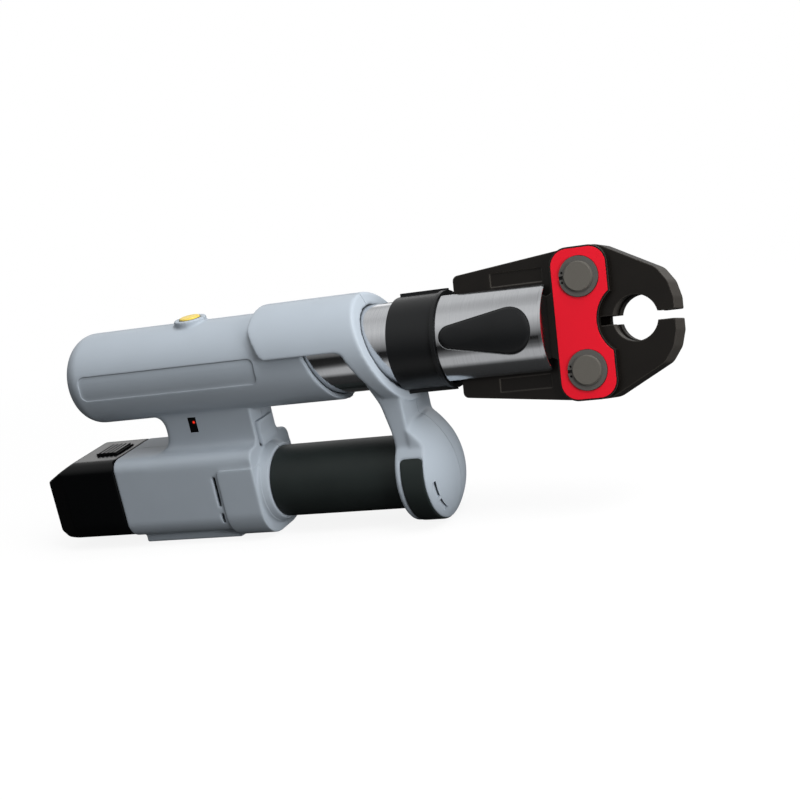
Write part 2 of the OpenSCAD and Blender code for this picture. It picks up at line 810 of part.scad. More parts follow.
// Screw places of the bow, in X and Z
bow_screw_spots = [
    [-strut_front_back - strut_t / 2, -block_top + boss_r],
    [-inlay_front_back - vent_gap, -grip_drop + drum_r * bow_screw_share],
    [-inlay_front_back - vent_gap, -grip_drop - drum_r * bow_screw_share]];

// One bow half: side -1 is the near half, 1 the far half
module bow_half(side) {
    difference() {
        intersection() {
            union() {
                difference() {
                    bow_form();
                    bow_hollows();
                }
                for (p = bow_screw_spots) rod_y(p.x, p.y, -strut_half_w + wall, strut_half_w - wall, boss_r);
            }
            translate([-battery_back, side < 0 ? -2 * barrel_r : 0, -2 * ground])
                cube([battery_back, 2 * barrel_r, 4 * ground]);
        }
        for (p = bow_screw_spots) screw_cut(p);
    }
}

module bow_left() {
    color(grey) bow_half(-1);
}

module bow_right() {
    color(grey) bow_half(1);
}

module bow_screws() {
    color(steel) for (p = bow_screw_spots) screw(p);
}

module drum_inlay() {
    color(black) translate([0, 0, -grip_drop]) difference() {
        tube_x(-inlay_rear_back, -inlay_front_back, drum_r, drum_r - inlay_t);
        translate([-inlay_rear_back - overrun, -2 * drum_r, grip_drop - inlay_top])
            cube([inlay_rear_back, 4 * drum_r, 2 * drum_r]);
    }
}

// Inner tube of the grip, between block and drum
grip_core_r = grip_r - sleeve_t;
grip_core_wall = 3;

module grip_core() {
    color(steel) translate([0, 0, -grip_drop])
        tube_x(-neck_front_back + seat, drum_rear_x + 2 * wall - seat, grip_core_r,
            grip_core_r - grip_core_wall);
}

module grip_sleeve() {
    color(black) translate([0, 0, -grip_drop])
        tube_x(-collar_front_back + seat, drum_rear_x - seat, grip_r, grip_core_r);
}

module led_window() {
    color(black) translate([-window_back - window_w / 2 + fit, -neck_half_w + fit, -window_low + fit])
        cube([window_w - 2 * fit, wall, window_low - window_top - 2 * fit]);
}

module led_lamp() {
    lamp_z = -(window_top + window_low) / 2;
    color(red) rod_y(-window_back, lamp_z, -neck_half_w + wall + 2 * fit, board_y, screw_r);
}

// Control board standing behind the window
module circuit_board() {
    color(green) translate([board_rear_x, board_y, -block_top + wall])
        cube([board_len, board_t, neck_room]);
    color(dark) translate([board_rear_x + overrun, board_y + board_t, -block_top + 2 * wall])
        cube([board_len / 5, wall, board_len / 4]);
}

// Trigger: a plate in the front of the neck, hollowed for the finger, with a root inside
trigger_rear_x = -neck_front_back - wall - trigger_root;
trigger_z = -trigger_low + trigger_h * (1 + trigger_rise_shares[1]) / 2;

// Plan of the trigger on one side, from its root to its tip or back
function trigger_side(side) = let (points = [[trigger_rear_x - overrun, side * trigger_w / 2],
    [-neck_front_back, side * trigger_w / 2], [-neck_front_back + trigger_nose + overrun,
    side * trigger_w / 2 * trigger_tip_share]]) side < 0 ? points : [points[2], points[1], points[0]];

module trigger() {
    front = [for (i = [0:len(trigger_reach_shares) - 1])
        [-neck_front_back + trigger_nose * trigger_reach_shares[i],
        -trigger_low + seat + trigger_h * trigger_rise_shares[i]]];
    root_z = front[1].y;
    color(grey) intersection() {
        slab(-trigger_w, trigger_w) polygon(concat(front, [[trigger_rear_x, front[4].y],
            [trigger_rear_x, root_z], [-neck_front_back, root_z], [-neck_front_back, front[0].y]]));
        translate([0, 0, -ground]) linear_extrude(ground)
            polygon(rounded(concat(trigger_side(-1), trigger_side(1)), trigger_corner_rs));
    }
}

// Return spring of the trigger, in line with the switch
trigger_spring_len = trigger_travel + trigger_nose + 2 * overrun;

module trigger_spring() {
    color(steel) translate([trigger_rear_x - trigger_spring_len - seat, 0, trigger_z]) rotate([0, 90, 0])
        coil(trigger_h / 5, screw_r / 3, trigger_spring_len, 5);
}

module trigger_switch() {
    switch_y = board_y + board_t;
    switch_x = trigger_rear_x - trigger_spring_len - 2 * seat - switch_len;
    color(black) translate([switch_x, switch_y, -block_top + wall])
        cube([switch_len, trigger_w / 2 - switch_y, neck_room]);
}

// Release button: cap, flange and stem in one piece
module release_button() {
    color(yellow) translate([-button_back, 0, 0]) {
        translate([0, 0, boss_top]) cylinder(r = button_r, h = button_top - boss_top);
        translate([0, 0, barrel_r - wall / 2 + button_travel + seat])
            cylinder(r = button_r, h = boss_top - barrel_r + wall / 2 - button_travel - seat);
        translate([0, 0, drive_r - bearing_t])
            cylinder(r = button_stem_r, h = boss_top - drive_r + bearing_t);
    }
}

module button_spring() {
    color(steel) translate([-button_back, 0, barrel_r - wall / 2])
        coil((button_r + button_stem_r) / 2, screw_r / 4, button_travel + seat / 2, 3);
}

// Motor: can with two end walls, magnets, rotor and the rubber rings that hold it in the barrel
motor_in_r = motor_r - motor_wall;
rotor_r = motor_in_r - magnet_t - rotor_gap;

module motor_can() {
    color(steel) difference() {
        rod_x(motor_rear_x, motor_front_x, motor_r);
        rod_x(motor_rear_x + motor_wall, motor_front_x - motor_wall, motor_in_r);
        rod_x(motor_rear_x - overrun, motor_front_x + overrun, shaft_r + fit);
    }
}

module motor_magnets() {
    color(dark) intersection() {
        tube_x(motor_rear_x + 3 * motor_wall, motor_front_x - 3 * motor_wall, motor_in_r,
            motor_in_r - magnet_t);
        for (side = [-1, 1]) translate([motor_rear_x, side < 0 ? -motor_r : shaft_r * 2, -motor_r])
            cube([motor_len, motor_r - shaft_r * 2, 2 * motor_r]);
    }
}

module motor_rotor() {
    color(steel) {
        rod_x(motor_rear_x - motor_wall, gear_rear_x + gear_w, shaft_r);
        rod_x(motor_rear_x + 4 * motor_wall, motor_front_x - 4 * motor_wall, rotor_r);
        spur(sun_teeth, gear_rear_x, gear_rear_x + gear_w);
    }
}

module motor_rings() {
    ring_w = 2 * motor_wall;
    color(black) for (x = [motor_rear_x + motor_wall, motor_front_x - 2 * ring_w])
        tube_x(x, x + ring_w, barrel_in_r - fit, motor_r);
}

// Planetary gear
module gearbox_plate() {
    color(steel) tube_x(motor_front_x, ring_rear_x, drive_r, gear_module * sun_teeth / 2);
}

module ring_gear() {
    pitch = gear_module * ring_teeth / 2;
    root = pitch - gear_module * addendum_share;
    tip = pitch + gear_module * dedendum_share;
    color(steel) difference() {
        rod_x(ring_rear_x, ring_front_x, drive_r);
        bar(ring_rear_x - overrun, ring_front_x + overrun)
            polygon(gear_points(ring_teeth, root, tip, gear_backlash));
    }
}

// Planet number i of the set
module planet(i) {
    rotate([360 * i / planet_count, 0, 0]) translate([0, planet_orbit, 0]) difference() {
        spur(planet_teeth, gear_rear_x, gear_rear_x + gear_w);
        rod_x(gear_rear_x - overrun, gear_rear_x + gear_w + overrun, planet_pin_r + fit);
    }
}

module planet_gear_1() {
    color(brass) planet(0);
}

module planet_gear_2() {
    color(brass) planet(1);
}

module planet_gear_3() {
    color(brass) planet(2);
}

// Carrier: disc with planet pins, output shaft and eccentric
carrier_x = gear_rear_x + gear_w + gear_gap;
eccentric_x = pump_rear_x + bearing_t + seat;

module planet_carrier() {
    color(steel) {
        rod_x(carrier_x, carrier_x + carrier_t, planet_orbit + planet_pin_r + planet_pin_r / 2);
        for (i = [0:planet_count - 1]) rotate([360 * i / planet_count, 0, 0]) translate([0, planet_orbit, 0])
            rod_x(gear_rear_x, carrier_x + carrier_t / 2, planet_pin_r);
        rod_x(carrier_x, eccentric_x + eccentric_w, output_shaft_r);
        translate([0, 0, -eccentric_throw]) rod_x(eccentric_x, eccentric_x + eccentric_w, eccentric_r);
    }
}

module carrier_bearing() {
    color(steel) tube_x(pump_rear_x, pump_rear_x + bearing_t, chamber_r, output_shaft_r + fit);
}

module eccentric_bearing() {
    color(steel) translate([0, 0, -eccentric_throw])
        tube_x(eccentric_x, eccentric_x + eccentric_w, eccentric_bearing_r, eccentric_r);
}

// Pump block with eccentric chamber, plunger bore and valve bore
module pump_block() {
    color(silver) difference() {
        union() {
            rod_x(pump_rear_x, pump_front_x - waist_front - waist_len, drive_r);
            rod_x(pump_rear_x, pump_front_x, waist_r);
            rod_x(pump_front_x - waist_front, pump_front_x, tube_r);
        }
        rod_x(pump_rear_x - overrun, pump_rear_x + chamber_depth, chamber_r);
        translate([plunger_x, 0, -drive_r - overrun]) cylinder(r = plunger_r + fit, h = drive_r);
        translate([-button_back, 0, drive_r - bearing_t - button_travel - overrun])
            cylinder(r = button_stem_r + fit, h = drive_r);
    }
}

module pump_plunger() {
    color(steel) translate([plunger_x, 0, -plunger_top - plunger_len])
        cylinder(r = plunger_r, h = plunger_len);
}

module plunger_spring() {
    len = drive_r - plunger_top - plunger_len - seat;
    color(steel) translate([plunger_x, 0, -drive_r]) coil(plunger_r - screw_r / 2, screw_r / 4, len, 3);
}

module oil_bladder() {
    color(black) tube_x(pump_front_x - waist_front - waist_len + seat, pump_front_x - waist_front - seat,
        drive_r, waist_r);
}

// Cylinder tube with its front gland and the spigot that carries the head
module cylinder_tube() {
    color(silver) difference() {
        union() {
            rod_x(tube_rear_x, tube_front_x, tube_r);
            rod_x(tube_front_x - overrun, head_x + socket_depth - seat, spigot_r);
        }
        rod_x(bore_rear_x, bore_front_x, cylinder_bore_r);
        rod_x(bore_front_x - overrun, head_x + socket_depth + overrun, rod_r + fit);
        tube_x(bore_front_x + gland_t / 3, bore_front_x + gland_t * 2 / 3, rod_r + seal_h, rod_r - overrun);
        tube_x(ring_groove_x, ring_groove_x + ring_groove_w, spigot_r + overrun, spigot_r - ring_groove_h);
    }
}

seal_h = 2.5;
ring_groove_x = head_x + socket_depth / 2 - ring_groove_w / 2;

module rod_seal() {
    color(black) tube_x(bore_front_x + gland_t / 3, bore_front_x + gland_t * 2 / 3, rod_r + seal_h,
        rod_r + fit);
}

// Piston and rod in one piece
piston_x = bore_rear_x + piston_rest;
rod_front_x = roller_x - roller_room - carriage_t;

module piston() {
    color(steel) difference() {
        union() {
            rod_x(piston_x, piston_x + piston_t, cylinder_bore_r - fit);
            rod_x(piston_x, rod_front_x, rod_r);
        }
        tube_x(piston_x + piston_t / 3, piston_x + piston_t * 2 / 3, cylinder_bore_r + overrun,
            cylinder_bore_r - seal_h);
    }
}

module piston_seal() {
    color(black) tube_x(piston_x + piston_t / 3, piston_x + piston_t * 2 / 3, cylinder_bore_r - fit,
        cylinder_bore_r - seal_h);
}

module return_spring() {
    start = piston_x + piston_t + seat;
    color(steel) translate([start, 0, 0]) rotate([0, 90, 0])
        coil((rod_r + cylinder_bore_r) / 2, screw_r, bore_front_x - start - seat, 8);
}

// Yoke on the rod's front end that carries both rollers
module roller_carriage() {
    color(steel) head_frame() difference() {
        union() {
            translate([rod_front_x, -cheek_out, -carriage_h])
                cube([carriage_t, 2 * cheek_out, 2 * carriage_h]);
            for (side = [-1, 1]) translate([rod_front_x, side < 0 ? -cheek_out : cheek_in, -carriage_h])
                cube([roller_x + cheek_nose - rod_front_x, cheek_out - cheek_in, 2 * carriage_h]);
        }
        for (side = [-1, 1]) rod_y(roller_x, side * roller_z, -slot_half, slot_half, axle_r);
    }
}

// One roller: side 1 is the upper, -1 the lower
module roller(side) {
    color(silver) head_frame() difference() {
        rod_y(roller_x, side * roller_z, -cheek_in + seat, cheek_in - seat, roller_r);
        rod_y(roller_x, side * roller_z, -slot_half, slot_half, axle_r + fit);
    }
}

module upper_roller() {
    roller(1);
}

module lower_roller() {
    roller(-1);
}

module roller_axles() {
    color(steel) head_frame() for (side = [-1, 1])
        rod_y(roller_x, side * roller_z, -cheek_out, cheek_out, axle_r);
}

// Teardrop of the paddle in X and Z, grown by a clearance
module teardrop(grow) {
    lean = acos((paddle_big_r - paddle_small_r) / paddle_len);
    big = [for (i = [-arc_steps:arc_steps]) polar(paddle_big_r + grow, (180 - lean) * i / arc_steps)];
    small = [for (i = [-arc_steps:arc_steps])
        [-paddle_len, 0] + polar(paddle_small_r + grow, 180 + lean * i / arc_steps)];
    translate([pin_x, 0]) polygon(concat(big, small));
}

// Fork head: two prongs, roller pocket and the socket on the cylinder's spigot
module fork_head() {
    color(silver) head_frame() difference() {
        union() {
            rod_x(head_x, -fork_front - fork_chamfer, head_core_r);
            rod_x(band_front_x + band_groove, -fork_front - fork_chamfer, head_r);
            turned() polygon([[0, -fork_front - fork_chamfer], [head_r, -fork_front - fork_chamfer],
                [head_r - fork_chamfer / 2, -fork_front], [0, -fork_front]]);
        }
        translate([-slot_back, -slot_half, -head_r - overrun])
            cube([slot_back - fork_front + overrun, 2 * slot_half, 2 * (head_r + overrun)]);
        translate([pocket_end_x, -slot_half, -pocket_h])
            cube([-slot_back - pocket_end_x + overrun, 2 * slot_half, 2 * pocket_h]);
        rod_x(head_x - overrun, pocket_end_x + overrun, rod_r + rod_clear);
        rod_x(head_x - overrun, head_x + socket_depth, spigot_r + fit);
        tube_x(ring_groove_x, ring_groove_x + ring_groove_w, spigot_r + ring_groove_h, spigot_r - overrun);
        rod_y(pin_x, 0, -head_r - overrun, head_r + overrun, pin_r + fit);
        difference() {
            slab(-head_r - overrun, 0) teardrop(seat);
            rod_x(-slot_back, -fork_front, head_r - paddle_seat);
        }
    }
}

module swivel_ring() {
    color(steel) tube_x(ring_groove_x + fit, ring_groove_x + ring_groove_w - fit,
        spigot_r + ring_groove_h - 2 * fit, spigot_r - ring_groove_h + 2 * fit);
}

// Black band over the head's rear, with front rim and two ribs
module swivel_band() {
    rib_r = band_r + band_rim_h;
    color(black) head_frame() difference() {
        union() {
            rod_x(head_x, band_front_x, band_r);
            rod_x(band_front_x - rim_w, band_front_x, band_r + band_rim_h / 2);
            translate([head_x, -rib_w / 2, -rib_r]) cube([band_len, rib_w, 2 * rib_r]);
        }
        rod_x(head_x - overrun, band_front_x + overrun, head_core_r);
    }
}

// Retaining pin, seated in the paddle
module retaining_pin() {
    color(steel) head_frame() rod_y(pin_x, 0, -head_r + paddle_seat, head_r - paddle_seat, pin_r);
}

module pin_paddle() {
    color(black) head_frame() difference() {
        intersection() {
            slab(-head_r - 2 * paddle_rise, 0) teardrop(0);
            rod_x(-slot_back, -fork_front, head_r + paddle_rise);
        }
        rod_x(-slot_back - overrun, -fork_front + overrun, head_r - paddle_seat + fit);
        rod_y(pin_x, 0, -head_r + paddle_seat, 0, pin_r);
    }
}

// Outline of the upper jaw in X and Z
module jaw_outline() {
    difference() {
        polygon(rounded([[-tail_back, tail_in_h], [-tail_back, tail_out_h], [crown_rear_x, crown_h],
            [crown_front_x, crown_h], [jaw_tip * nose_x_share, crown_h * nose_h_share],
            [jaw_tip * cheek_x_share, crown_h * cheek_h_share], [jaw_tip, tip_h], [jaw_tip, jaw_gap / 2],
            [-heel_back, jaw_gap / 2], [-throat_back, throat_h], [roller_closed_x, ramp_low_h],
            [roller_x, ramp_h]], jaw_corner_rs));
        translate([bolt_x, bolt_z]) circle(bolt_r + fit);
    }
}

// One jaw: side 1 is the upper, -1 the lower
module jaw(side) {
    pocket_front = throat_back - boss_r;
    color(dark) head_frame() scale_z(side) difference() {
        slab(-jaw_t / 2, jaw_t / 2) jaw_outline();
        rod_y(0, 0, -jaw_t, jaw_t, jaw_bore_r);
        rod_y(0, 0, -bead_groove_w / 2, bead_groove_w / 2, bead_groove_r);
        for (y = [-jaw_t / 2 - overrun, jaw_t / 2 - tail_pocket_depth])
            translate([-tail_pocket_back, y, bolt_z])
                cube([tail_pocket_back - pocket_front, tail_pocket_depth + overrun, tail_pocket_h]);
    }
}

// Mirrors to the lower side
module scale_z(side) {
    mirror([0, 0, side < 0 ? 1 : 0]) children();
}

module upper_jaw() {
    jaw(1);
}

module lower_jaw() {
    jaw(-1);
}

// Outline shared by link plates and panels, drawn in by an inset
module link_outline(inset) {
    half_w = plate_lobe_r - inset;
    half_h = bolt_z + half_w;
    difference() {
        round_rect([bolt_x - half_w, -half_h], [bolt_x + half_w, half_h], plate_corner - inset,
            plate_corner - inset);
        circle(plate_hollow_r + inset);
    }
}

// One link plate: side -1 is the near plate, 1 the far plate
module link_plate(side) {
    color(dark) head_frame() difference() {
        union() {
            low_y = side < 0 ? -plate_out : plate_in;
            slab(low_y, low_y + plate_t) link_outline(0);
            slab(low_y, low_y + plate_t) polygon([for (p = [[pin_x, plate_tongue_r], [bolt_x, bolt_z],
                [bolt_x, -bolt_z], [pin_x, -plate_tongue_r]]) [p.x, p.y - sign(p.y) * plate_waist]]);
            rod_y(pin_x, 0, low_y, low_y + plate_t, plate_tongue_r);
        }
        for (z = [-bolt_z, bolt_z]) rod_y(bolt_x, z, -bolt_end, bolt_end, bolt_r);
        rod_y(pin_x, 0, -bolt_end, bolt_end, pin_r + fit);
        rod_y(0, 0, -bolt_end, bolt_end, plate_hollow_r);
    }
}

module near_link_plate() {
    link_plate(-1);
}

module far_link_plate() {
    link_plate(1);
}

module link_panels() {
    color(red) head_frame() for (side = [-1, 1])
        slab(side < 0 ? -plate_out - panel_t : plate_out,
            side < 0 ? -plate_out : plate_out + panel_t) difference() {
            link_outline(panel_border);
            for (z = [-bolt_z, bolt_z]) translate([bolt_x, z]) circle(circlip_r + seat);
        }
}

module pivot_bolts() {
    color(steel) head_frame() for (z = [-bolt_z, bolt_z]) difference() {
        union() {
            rod_y(bolt_x, z, -bolt_end + bolt_chamfer, bolt_end - bolt_chamfer, bolt_r);
            rod_y(bolt_x, z, -bolt_end, bolt_end, bolt_r - bolt_chamfer);
        }
        for (side = [-1, 1]) difference() {
            rod_y(bolt_x, z, side < 0 ? -plate_out - circlip_t - fit : plate_out,
                side < 0 ? -plate_out : plate_out + circlip_t + fit, bolt_r + overrun);
            rod_y(bolt_x, z, -bolt_end, bolt_end, bolt_r - bolt_groove);
        }
    }
}

// Four circlips, each with two lug holes facing the fork
module circlips() {
    color(dark) head_frame() for (z = [-bolt_z, bolt_z], side = [-1, 1])
        slab(side < 0 ? -plate_out - circlip_t : plate_out, side < 0 ? -plate_out : plate_out + circlip_t)
            translate([bolt_x, z]) difference() {
                circle(circlip_r);
                circle(bolt_r - bolt_groove);
                translate([-circlip_r - overrun, -circlip_gap / 2]) square([circlip_r, circlip_gap]);
                for (turn = [-1, 1])
                    translate(polar((circlip_r + bolt_r) / 2, 180 + turn * circlip_hole_angle))
                    circle(circlip_hole_r);
            }
}

// Side and plan outlines that bevel the battery's rear end
module battery_side_outline() {
    polygon([[-block_rear_back, -block_top], [-battery_slope_back, -block_top],
        [-battery_back, -block_top - battery_slope_h], [-battery_back, -battery_bottom + battery_low_chamfer],
        [-battery_back + battery_low_chamfer_len, -battery_bottom], [-block_rear_back, -battery_bottom]]);
}

module battery_plan_outline() {
    chamfer_x = -battery_back + battery_side_chamfer_len;
    polygon([[-block_rear_back, -block_half_w], [chamfer_x, -block_half_w],
        [-battery_back, -block_half_w + battery_side_chamfer],
        [-battery_back, block_half_w - battery_side_chamfer],
        [chamfer_x, block_half_w], [-block_rear_back, block_half_w]]);
}

// Cross-section of the battery's inserted part, drawn in by an inset
module insert_section() {
    gap = wall + battery_clear;
    round_rect([-insert_half_w, -insert_bottom], [insert_half_w, -insert_top], block_low_fillet - gap,
        block_top_fillet - gap);
}

module battery_case() {
    color(black) difference() {
        union() {
            intersection() {
                bar(-battery_back, -block_rear_back - seat)
                    round_rect([-block_half_w, -battery_bottom], [block_half_w, -block_top], block_low_fillet,
                        block_top_fillet);
                slab(-block_half_w, block_half_w) battery_side_outline();
                translate([0, 0, -block_bottom]) linear_extrude(block_bottom - block_top)
                    battery_plan_outline();
            }
            bar(-block_rear_back - overrun, battery_front_x - lid_t) insert_section();
        }
        bar(cell_rear_x - cell_gap, battery_front_x - lid_t + overrun)
            round_rect([-cell_len / 2 - cell_gap, cell_low_z - cell_gap],
                [cell_len / 2 + cell_gap, cell_high_z + cell_gap], 3 * cell_gap, 3 * cell_gap);
        translate([-latch_front_back - latch_len - seat, -latch_w / 2 - seat, -block_top - latch_recess])
            cube([latch_len + 2 * seat, latch_w + 2 * seat, latch_recess + overrun]);
    }
}

// Cells: two rows of five, lying across the pack
cell_pitch = 2 * cell_r + cell_gap;
cell_front_x = battery_front_x - lid_t - cell_gap;
cell_rear_x = cell_front_x - cell_columns * cell_pitch;
cell_low_z = -(insert_top + insert_bottom) / 2 - cell_pitch - latch_rise;
cell_high_z = cell_low_z + cell_rows * cell_pitch;

module battery_lid() {
    color(black) bar(battery_front_x - lid_t, battery_front_x) insert_section();
}

module battery_cells() {
    color(green) for (i = [0:cell_columns - 1], j = [0:cell_rows - 1])
        rod_y(cell_front_x - (i + half_share) * cell_pitch, cell_low_z + (j + half_share) * cell_pitch,
            -cell_len / 2, cell_len / 2, cell_r);
}

// Two flat contacts on the lid
module battery_contacts() {
    color(brass) for (side = [-1, 1])
        translate([battery_front_x, side * contact_spread - contact_w / 2, -grip_drop - contact_h / 2])
            cube([contact_t, contact_w, contact_h]);
}

// Latch: ribbed button in the battery's top
module battery_latch() {
    latch_rear_x = -latch_front_back - latch_len;
    rib_pitch = latch_len / latch_ribs;
    color(black) {
        translate([latch_rear_x, -latch_w / 2, -block_top + latch_rise - latch_rib_h - latch_body_t])
            cube([latch_len, latch_w, latch_body_t]);
        for (i = [0:latch_ribs - 1])
            translate([latch_rear_x + i * rib_pitch, -latch_w / 2, -block_top + latch_rise - latch_rib_h])
            cube([rib_pitch / 2, latch_w, latch_rib_h]);
    }
}

module latch_spring() {
    floor_z = -block_top - latch_recess;
    len = -block_top + latch_rise - latch_rib_h - latch_body_t - floor_z - seat / 2;
    color(steel) translate([-latch_front_back - latch_len / 2, 0, floor_z])
        coil(latch_body_t, screw_r / 4, len, 3);
}

housing_left();
housing_right();
housing_screws();
bow_left();
bow_right();
bow_screws();
drum_inlay();
grip_core();
grip_sleeve();
led_window();
led_lamp();
circuit_board();
trigger();
trigger_spring();
trigger_switch();
release_button();
button_spring();
motor_can();
motor_magnets();
motor_rotor();
motor_rings();
gearbox_plate();
ring_gear();
planet_gear_1();
planet_gear_2();
planet_gear_3();
planet_carrier();
carrier_bearing();
eccentric_bearing();
pump_block();
pump_plunger();
plunger_spring();
oil_bladder();
cylinder_tube();
rod_seal();
piston();
piston_seal();
return_spring();
roller_carriage();
upper_roller();
lower_roller();
roller_axles();
fork_head();
swivel_ring();
swivel_band();
retaining_pin();
pin_paddle();
upper_jaw();
lower_jaw();
near_link_plate();
far_link_plate();
link_panels();
pivot_bolts();
circlips();
battery_case();
battery_lid();
battery_cells();
battery_contacts();
battery_latch();
latch_spring();
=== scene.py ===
"""Dresses the pipe press tool: soft-edged shells and controls over the solids, finishes, light and camera."""

import bmesh
import bpy
import numpy as np
from mathutils import Matrix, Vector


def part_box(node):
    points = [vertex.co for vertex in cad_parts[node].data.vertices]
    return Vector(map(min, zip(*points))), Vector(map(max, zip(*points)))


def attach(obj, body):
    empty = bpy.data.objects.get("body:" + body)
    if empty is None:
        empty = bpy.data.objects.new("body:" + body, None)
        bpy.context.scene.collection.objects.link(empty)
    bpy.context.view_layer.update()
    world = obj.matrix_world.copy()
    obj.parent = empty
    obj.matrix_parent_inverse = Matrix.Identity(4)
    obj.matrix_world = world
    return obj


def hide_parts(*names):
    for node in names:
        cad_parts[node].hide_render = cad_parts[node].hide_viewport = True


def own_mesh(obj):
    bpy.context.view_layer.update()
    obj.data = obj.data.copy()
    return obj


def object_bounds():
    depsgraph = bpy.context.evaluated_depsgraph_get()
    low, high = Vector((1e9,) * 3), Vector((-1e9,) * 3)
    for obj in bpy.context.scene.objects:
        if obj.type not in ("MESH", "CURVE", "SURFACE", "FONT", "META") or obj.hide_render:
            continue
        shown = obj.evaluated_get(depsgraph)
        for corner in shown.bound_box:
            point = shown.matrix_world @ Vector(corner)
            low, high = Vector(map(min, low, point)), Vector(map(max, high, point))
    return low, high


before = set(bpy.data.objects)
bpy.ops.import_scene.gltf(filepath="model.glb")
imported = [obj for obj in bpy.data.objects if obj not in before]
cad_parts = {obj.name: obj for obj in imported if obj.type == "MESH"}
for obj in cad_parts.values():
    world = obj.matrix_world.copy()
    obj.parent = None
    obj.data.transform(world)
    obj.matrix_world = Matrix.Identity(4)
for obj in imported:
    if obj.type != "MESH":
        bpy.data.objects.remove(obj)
CAD_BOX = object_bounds()

bl_info = {
    "name": "Pipe press tool",
    "version": (1, 0, 0),
    "blender": (4, 5, 0),
    "location": "View3D > Sidebar > Press tool",
    "description": "Builds the visible pieces and finishes of a battery pipe press tool",
    "category": "Object",
}

MM = 0.001
HEAD_ROLL = np.radians(15.56)
SIDES = ((-1, "left"), (1, "right"))
# points closer than this are one point
SAME_POINT = 1e-6
# triangles of both halves of a shell together, and of the battery case
SHELL_TRIANGLES = 390000
CASE_TRIANGLES = 190000


class PressToolSizes(bpy.types.PropertyGroup):
    """Sizes that shape the visible pieces"""
    shell_grid: bpy.props.FloatProperty(
        name="Shell grid", description="Spacing of the skins' points", default=0.8 * MM, unit="LENGTH")
    shell_rounds: bpy.props.IntProperty(
        name="Shell rounding", description="Smoothing passes over the housing", default=4)
    blend_rounds: bpy.props.IntProperty(
        name="Neck blend", description="Extra passes where the neck runs into the barrel", default=40)
    bow_rounds: bpy.props.IntProperty(
        name="Bow rounding", description="Smoothing passes over the bow", default=16)
    case_rounds: bpy.props.IntProperty(
        name="Case rounding", description="Smoothing passes over the battery case", default=10)
    parting_gap: bpy.props.FloatProperty(
        name="Parting gap", description="Gap between two moulded halves", default=0.45 * MM, unit="LENGTH")
    grip_radius: bpy.props.FloatProperty(
        name="Grip radius", description="Outer radius of the grip sleeve", default=27.3 * MM, unit="LENGTH")
    grip_axis: bpy.props.FloatProperty(
        name="Grip axis", description="Height of the grip's axis", default=-96.4 * MM, unit="LENGTH")
    drum_radius: bpy.props.FloatProperty(
        name="Drum radius", description="Outer radius of the drum", default=36.5 * MM, unit="LENGTH")
    head_radius: bpy.props.FloatProperty(
        name="Head radius", description="Outer radius of the fork head", default=34.3 * MM, unit="LENGTH")
    paddle_rise: bpy.props.FloatProperty(
        name="Paddle rise", description="Paddle's height over the prong", default=0.9 * MM, unit="LENGTH")


class PressToolColours(bpy.types.PropertyGroup):
    """Colours as sRGB hex values"""
    housing: bpy.props.StringProperty(name="Housing", description="Moulded grey ABS", default="#9FA8B1")
    button: bpy.props.StringProperty(name="Button", description="Yellow release button", default="#D9BE55")
    rubber: bpy.props.StringProperty(name="Rubber", description="Grip sleeve and inlay", default="#222827")
    band: bpy.props.StringProperty(name="Band", description="Swivel band and paddle", default="#161718")
    bright: bpy.props.StringProperty(name="Bright steel", description="Tube and fork head", default="#D4D6D9")
    jaw: bpy.props.StringProperty(name="Jaw", description="Phosphated jaw steel", default="#15120F")
    # bare steel on worn edges; on the jaws' front faces the same colour is painted light
    bare_edge_and_lit_front: bpy.props.StringProperty(name="Ground edge", description="Ground steel", default="#5C5853")
    panel: bpy.props.StringProperty(name="Panel", description="Red lacquer", default="#D20E24")
    clip: bpy.props.StringProperty(name="Circlip", description="Spring steel", default="#5A5855")
    bolt: bpy.props.StringProperty(name="Bolt", description="Bolt faces", default="#625F59")
    battery: bpy.props.StringProperty(name="Battery", description="Black battery case", default="#08090A")
    lamp: bpy.props.StringProperty(name="Lamp", description="Indicator lamp", default="#FF3018")
    steel: bpy.props.StringProperty(name="Plain steel", description="Inner machined steel", default="#9A9A9B")
    brass: bpy.props.StringProperty(name="Brass", description="Gears and contacts", default="#B8964C")
    board: bpy.props.StringProperty(name="Board", description="Solder mask", default="#2B6A43")
    sleeve: bpy.props.StringProperty(name="Cell film", description="Film round the cells", default="#3E6FA8")


def linear(value):
    """sRGB hex to linear RGBA."""
    c = np.array([int(value[i:i + 2], 16) for i in (1, 3, 5)]) / 255
    return (*np.where(c <= 0.04045, c / 12.92, ((c + 0.055) / 1.055) ** 2.4).tolist(), 1.0)


def times(colour, share):
    """Linear RGBA of a hex colour, darker or lighter by a share."""
    return (*[min(c * share, 1) for c in linear(colour)[:3]], 1)


def add(tree, kind, inputs=(), **settings):
    """Adds one shader node; inputs holds values or the sockets to link from."""
    made = tree.nodes.new("ShaderNode" + kind)
    for key, value in settings.items():
        setattr(made, key, value)
    for key, value in dict(inputs).items():
        if isinstance(value, bpy.types.NodeSocket):
            tree.links.new(value, made.inputs[key])
        else:
            made.inputs[key].default_value = value
    return made


def toned(tree, value, stops):
    """Grey ramp over a value from 0 to 1, from pairs of place and tone; its own stops serve 0 and 1."""
    made = add(tree, "ValToRGB", {"Fac": value})
    for place, tone in stops:
        between = 0 < place < 1
        stop = made.color_ramp.elements.new(place) if between else made.color_ramp.elements[-int(place)]
        stop.color = (tone, tone, tone, 1)
    return made.outputs["Color"]


def shaded(tree, value, colour, places, shares):
    """Ramp over a value between two places, from the colour times one share to the colour times the other."""
    made = add(tree, "ValToRGB", {"Fac": value})
    for stop, place, share in zip(made.color_ramp.elements, places, shares):
        stop.position = place
        stop.color = times(colour, share)
    return made.outputs["Color"]


